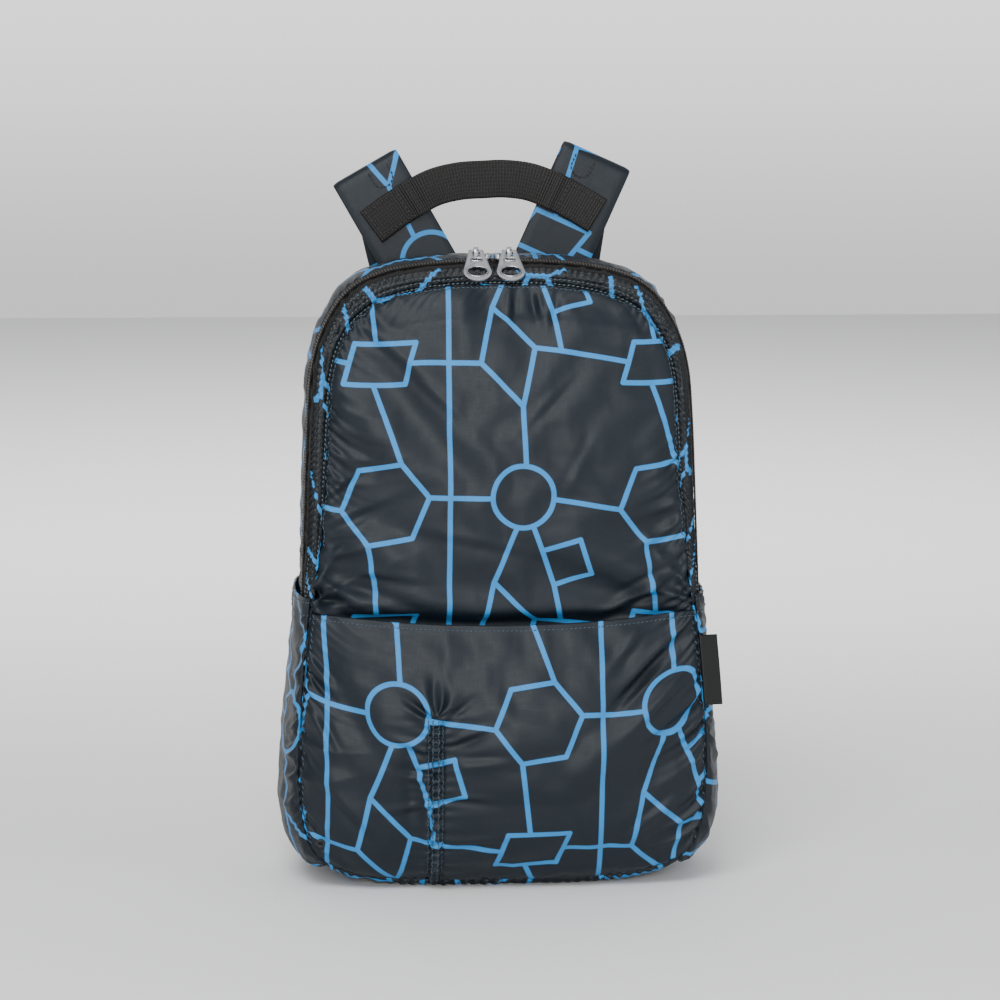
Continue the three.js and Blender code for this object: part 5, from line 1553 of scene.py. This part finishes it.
def pullLoop(halfWidth, halfHeight, reach, power):  # a rounded loop in the pull's own plane
    angle = np.linspace(0, 2 * np.pi, 41)[:-1]
    cosine, sine = np.cos(angle), np.sin(angle)
    x = halfWidth * np.sign(cosine) * np.abs(cosine) ** power
    y = halfHeight * np.sign(sine) * np.abs(sine) ** power - reach
    return np.stack([x, y, np.zeros(40)], -1)


for joint in frame["joints"]:
    side = "left" if "left" in joint["name"] else "right"
    axis = np.array(joint["pos_m"])
    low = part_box(f"pull_{side}")[0]
    down, forward = axis[2] - low.z, axis[1] - low.y
    full, thin = pull["length"], pull["half"]
    ratio = ((down - forward) / (full - thin)) / ((down + forward) / (full + thin))
    drop = math.pi / 4 + math.atan(ratio)
    turn = np.array([[1, 0, 0], [0, math.cos(drop), math.sin(drop)], [0, -math.sin(drop), math.cos(drop)]])
    loops = []
    for face in (-1, 1):
        for hole in ("oval", "slot"):
            loop = pullLoop(*pull[hole]) + np.array([0, 0, face * thin])
            loops.append((loop @ turn + axis, np.array([0, 0, 1.0]) @ turn))
    softened(f"pull_{side}", f"pull_{side}_cast", pull["edge"], "cast_zinc", f"pull_{side}")
    rings(f"pull_{side}_rims", loops, pull["rim"], finishes["cast_zinc"], "cast_zinc", f"pull_{side}")
    softened(f"slider_{side}", f"slider_{side}_cast", bevels["slider"], "cast_zinc", "bag")
    softened(f"ladder_lock_{side}", f"ladder_lock_{side}_moulded", bevels["lock"], "black_plastic", "bag")
print("hardware done")

# a small knot of cord that holds the pocket's lining near its left seam
knot = {"x": -0.1266, "z": 0.036, "radius": 0.0023, "tube": 0.001, "lift": 0.0006}
pocketGrid = panels["front_pocket_cloth"]["grid"]
away = np.hypot(pocketGrid[..., 0] - knot["x"], pocketGrid[..., 2] - knot["z"])
spot = np.unravel_index(np.argmin(away), away.shape)
knotOut = panels["front_pocket_cloth"]["normals"][spot]
knotSide = unit(np.cross(knotOut, [0, 0, 1.0]))
knotUp = np.cross(knotSide, knotOut)
angle = np.linspace(0, 2 * np.pi, 17)[:-1, None]
loop = pocketGrid[spot] + knotOut * knot["lift"]
loop = loop + knot["radius"] * (knotSide * np.cos(angle) + knotUp * np.sin(angle))
rings("pocket_knot", [(loop, knotOut)], knot["tube"], strapThread, "black_webbing", "bag")


def declareSheet(panel, held):
    x, y = panels[panel]["x"], panels[panel]["y"]
    if held == "gathered":  # cut larger than its place, by what its ruffles take up along and across
        grid = panels[panel]["grid"]
        steps = [np.linalg.norm(np.diff(grid, axis=axis), axis=-1).sum(axis=axis) for axis in (1, 0)]
        along, across = float((steps[0] / x[:, -1]).mean()), float((steps[1] / y[-1]).mean())
        x, y = x * along, y * across
        print("gathered:", panel, "takes up", round(along, 3), "along and", round(across, 3), "across")


for name in panels:
    if name == "front_band_cloth":
        declareSheet(name, "gathered")
    else:
        declareSheet(name, "stretched")

# plain pale floor, soft studio light, and a camera at the photo's angle
studio = {
    "azimuth": -4, "elevation": 7, "distance": 2.2, "target": (-0.0025, -0.070, 0.2718), "frame": 0.682,
    "sensor": 36.0, "floor": ("#f4f4f3", "#f6f6f5"), "floorReach": 6.0,
    "skyBehind": "#ffffff", "skyBefore": "#55575b", "ahead": (0.1, 0.95), "lowSky": (0.13, 0.03),
    "skyStrength": 1.6, "horizon": 0.54, "horizonBand": (-0.065, 0.05),
}
azimuth, elevation = math.radians(studio["azimuth"]), math.radians(studio["elevation"])
away = Vector((math.sin(azimuth), -math.cos(azimuth), 0)) * math.cos(elevation)
away.z = math.sin(elevation)
camera = sceneObject("camera", bpy.data.cameras.new("camera"))
camera.data.sensor_width = studio["sensor"]
camera.data.lens = studio["sensor"] * studio["distance"] / studio["frame"]
camera.location = Vector(studio["target"]) + away * studio["distance"]
camera.rotation_euler = away.to_track_quat("Z", "Y").to_euler()
scene.camera = camera

floorMesh = bpy.data.meshes.new("floor")
far = studio["floorReach"]
floorMesh.from_pydata([(-far, -far, 0), (far, -far, 0), (far, far, 0), (-far, far, 0)], [], [(0, 1, 2, 3)])
floor = sceneObject("floor", floorMesh)
paper, tree, shader = startMaterial("matt studio paper", Roughness=0.9)
fibres = noise(tree, add(tree, "ShaderNodeTexCoord").outputs["Object"], 40.0)
feed(tree, shader, Base_Color=blend(tree, fibres, *studio["floor"]))
floorMesh.materials.append(paper)

world = bpy.data.worlds.new("studio")
scene.world = world
world.use_nodes = True
sky = world.node_tree
direction = add(sky, "ShaderNodeTexCoord").outputs["Generated"]
parts = add(sky, "ShaderNodeSeparateXYZ", {"Vector": direction}).outputs
# all round, the sky is pale near the horizon
pale = maths(
    sky, "MAXIMUM",
    ranged(sky, parts["Y"], studio["ahead"], kind="SMOOTHSTEP"),
    ranged(sky, parts["Z"], studio["lowSky"], kind="SMOOTHSTEP"),
)
room = blend(sky, pale, studio["skyBefore"], studio["skyBehind"])
# the sky dims towards the floor's far edge, so that the line where they meet hardly shows
strengths = (studio["horizon"] * studio["skyStrength"], studio["skyStrength"])
strength = ranged(sky, parts["Z"], studio["horizonBand"], strengths, "SMOOTHSTEP")
feed(sky, sky.nodes["Background"], Color=room, Strength=strength)

lamps = [  # name, place, size, power, colour
    ("key", (-0.6, -1.7, 2.1), 1.2, 50, "#ffffff"),
    ("front", (-0.2, -2.7, 0.85), 0.9, 44, "#ffffff"),
    ("fill", (1.8, -1.3, 0.9), 1.0, 9, "#f6f9ff"),
    ("top", (0.1, -0.1, 2.1), 1.4, 8, "#ffffff"),
    ("backdrop", (0.0, 1.6, 2.6), 3.0, 150, "#ffffff"),
]
bagMiddle, farFloor = Vector((0, 0, 0.22)), Vector((0, 6, 0))
for name, place, wide, power, colour in lamps:
    light = bpy.data.lights.new(name, "AREA")
    light.size = wide
    light.energy = power
    light.color = linear(colour)[:3]
    lamp = sceneObject(name, light)
    lamp.location = place
    aim = farFloor if name == "backdrop" else bagMiddle
    lamp.rotation_euler = (Vector(place) - aim).to_track_quat("Z", "Y").to_euler()
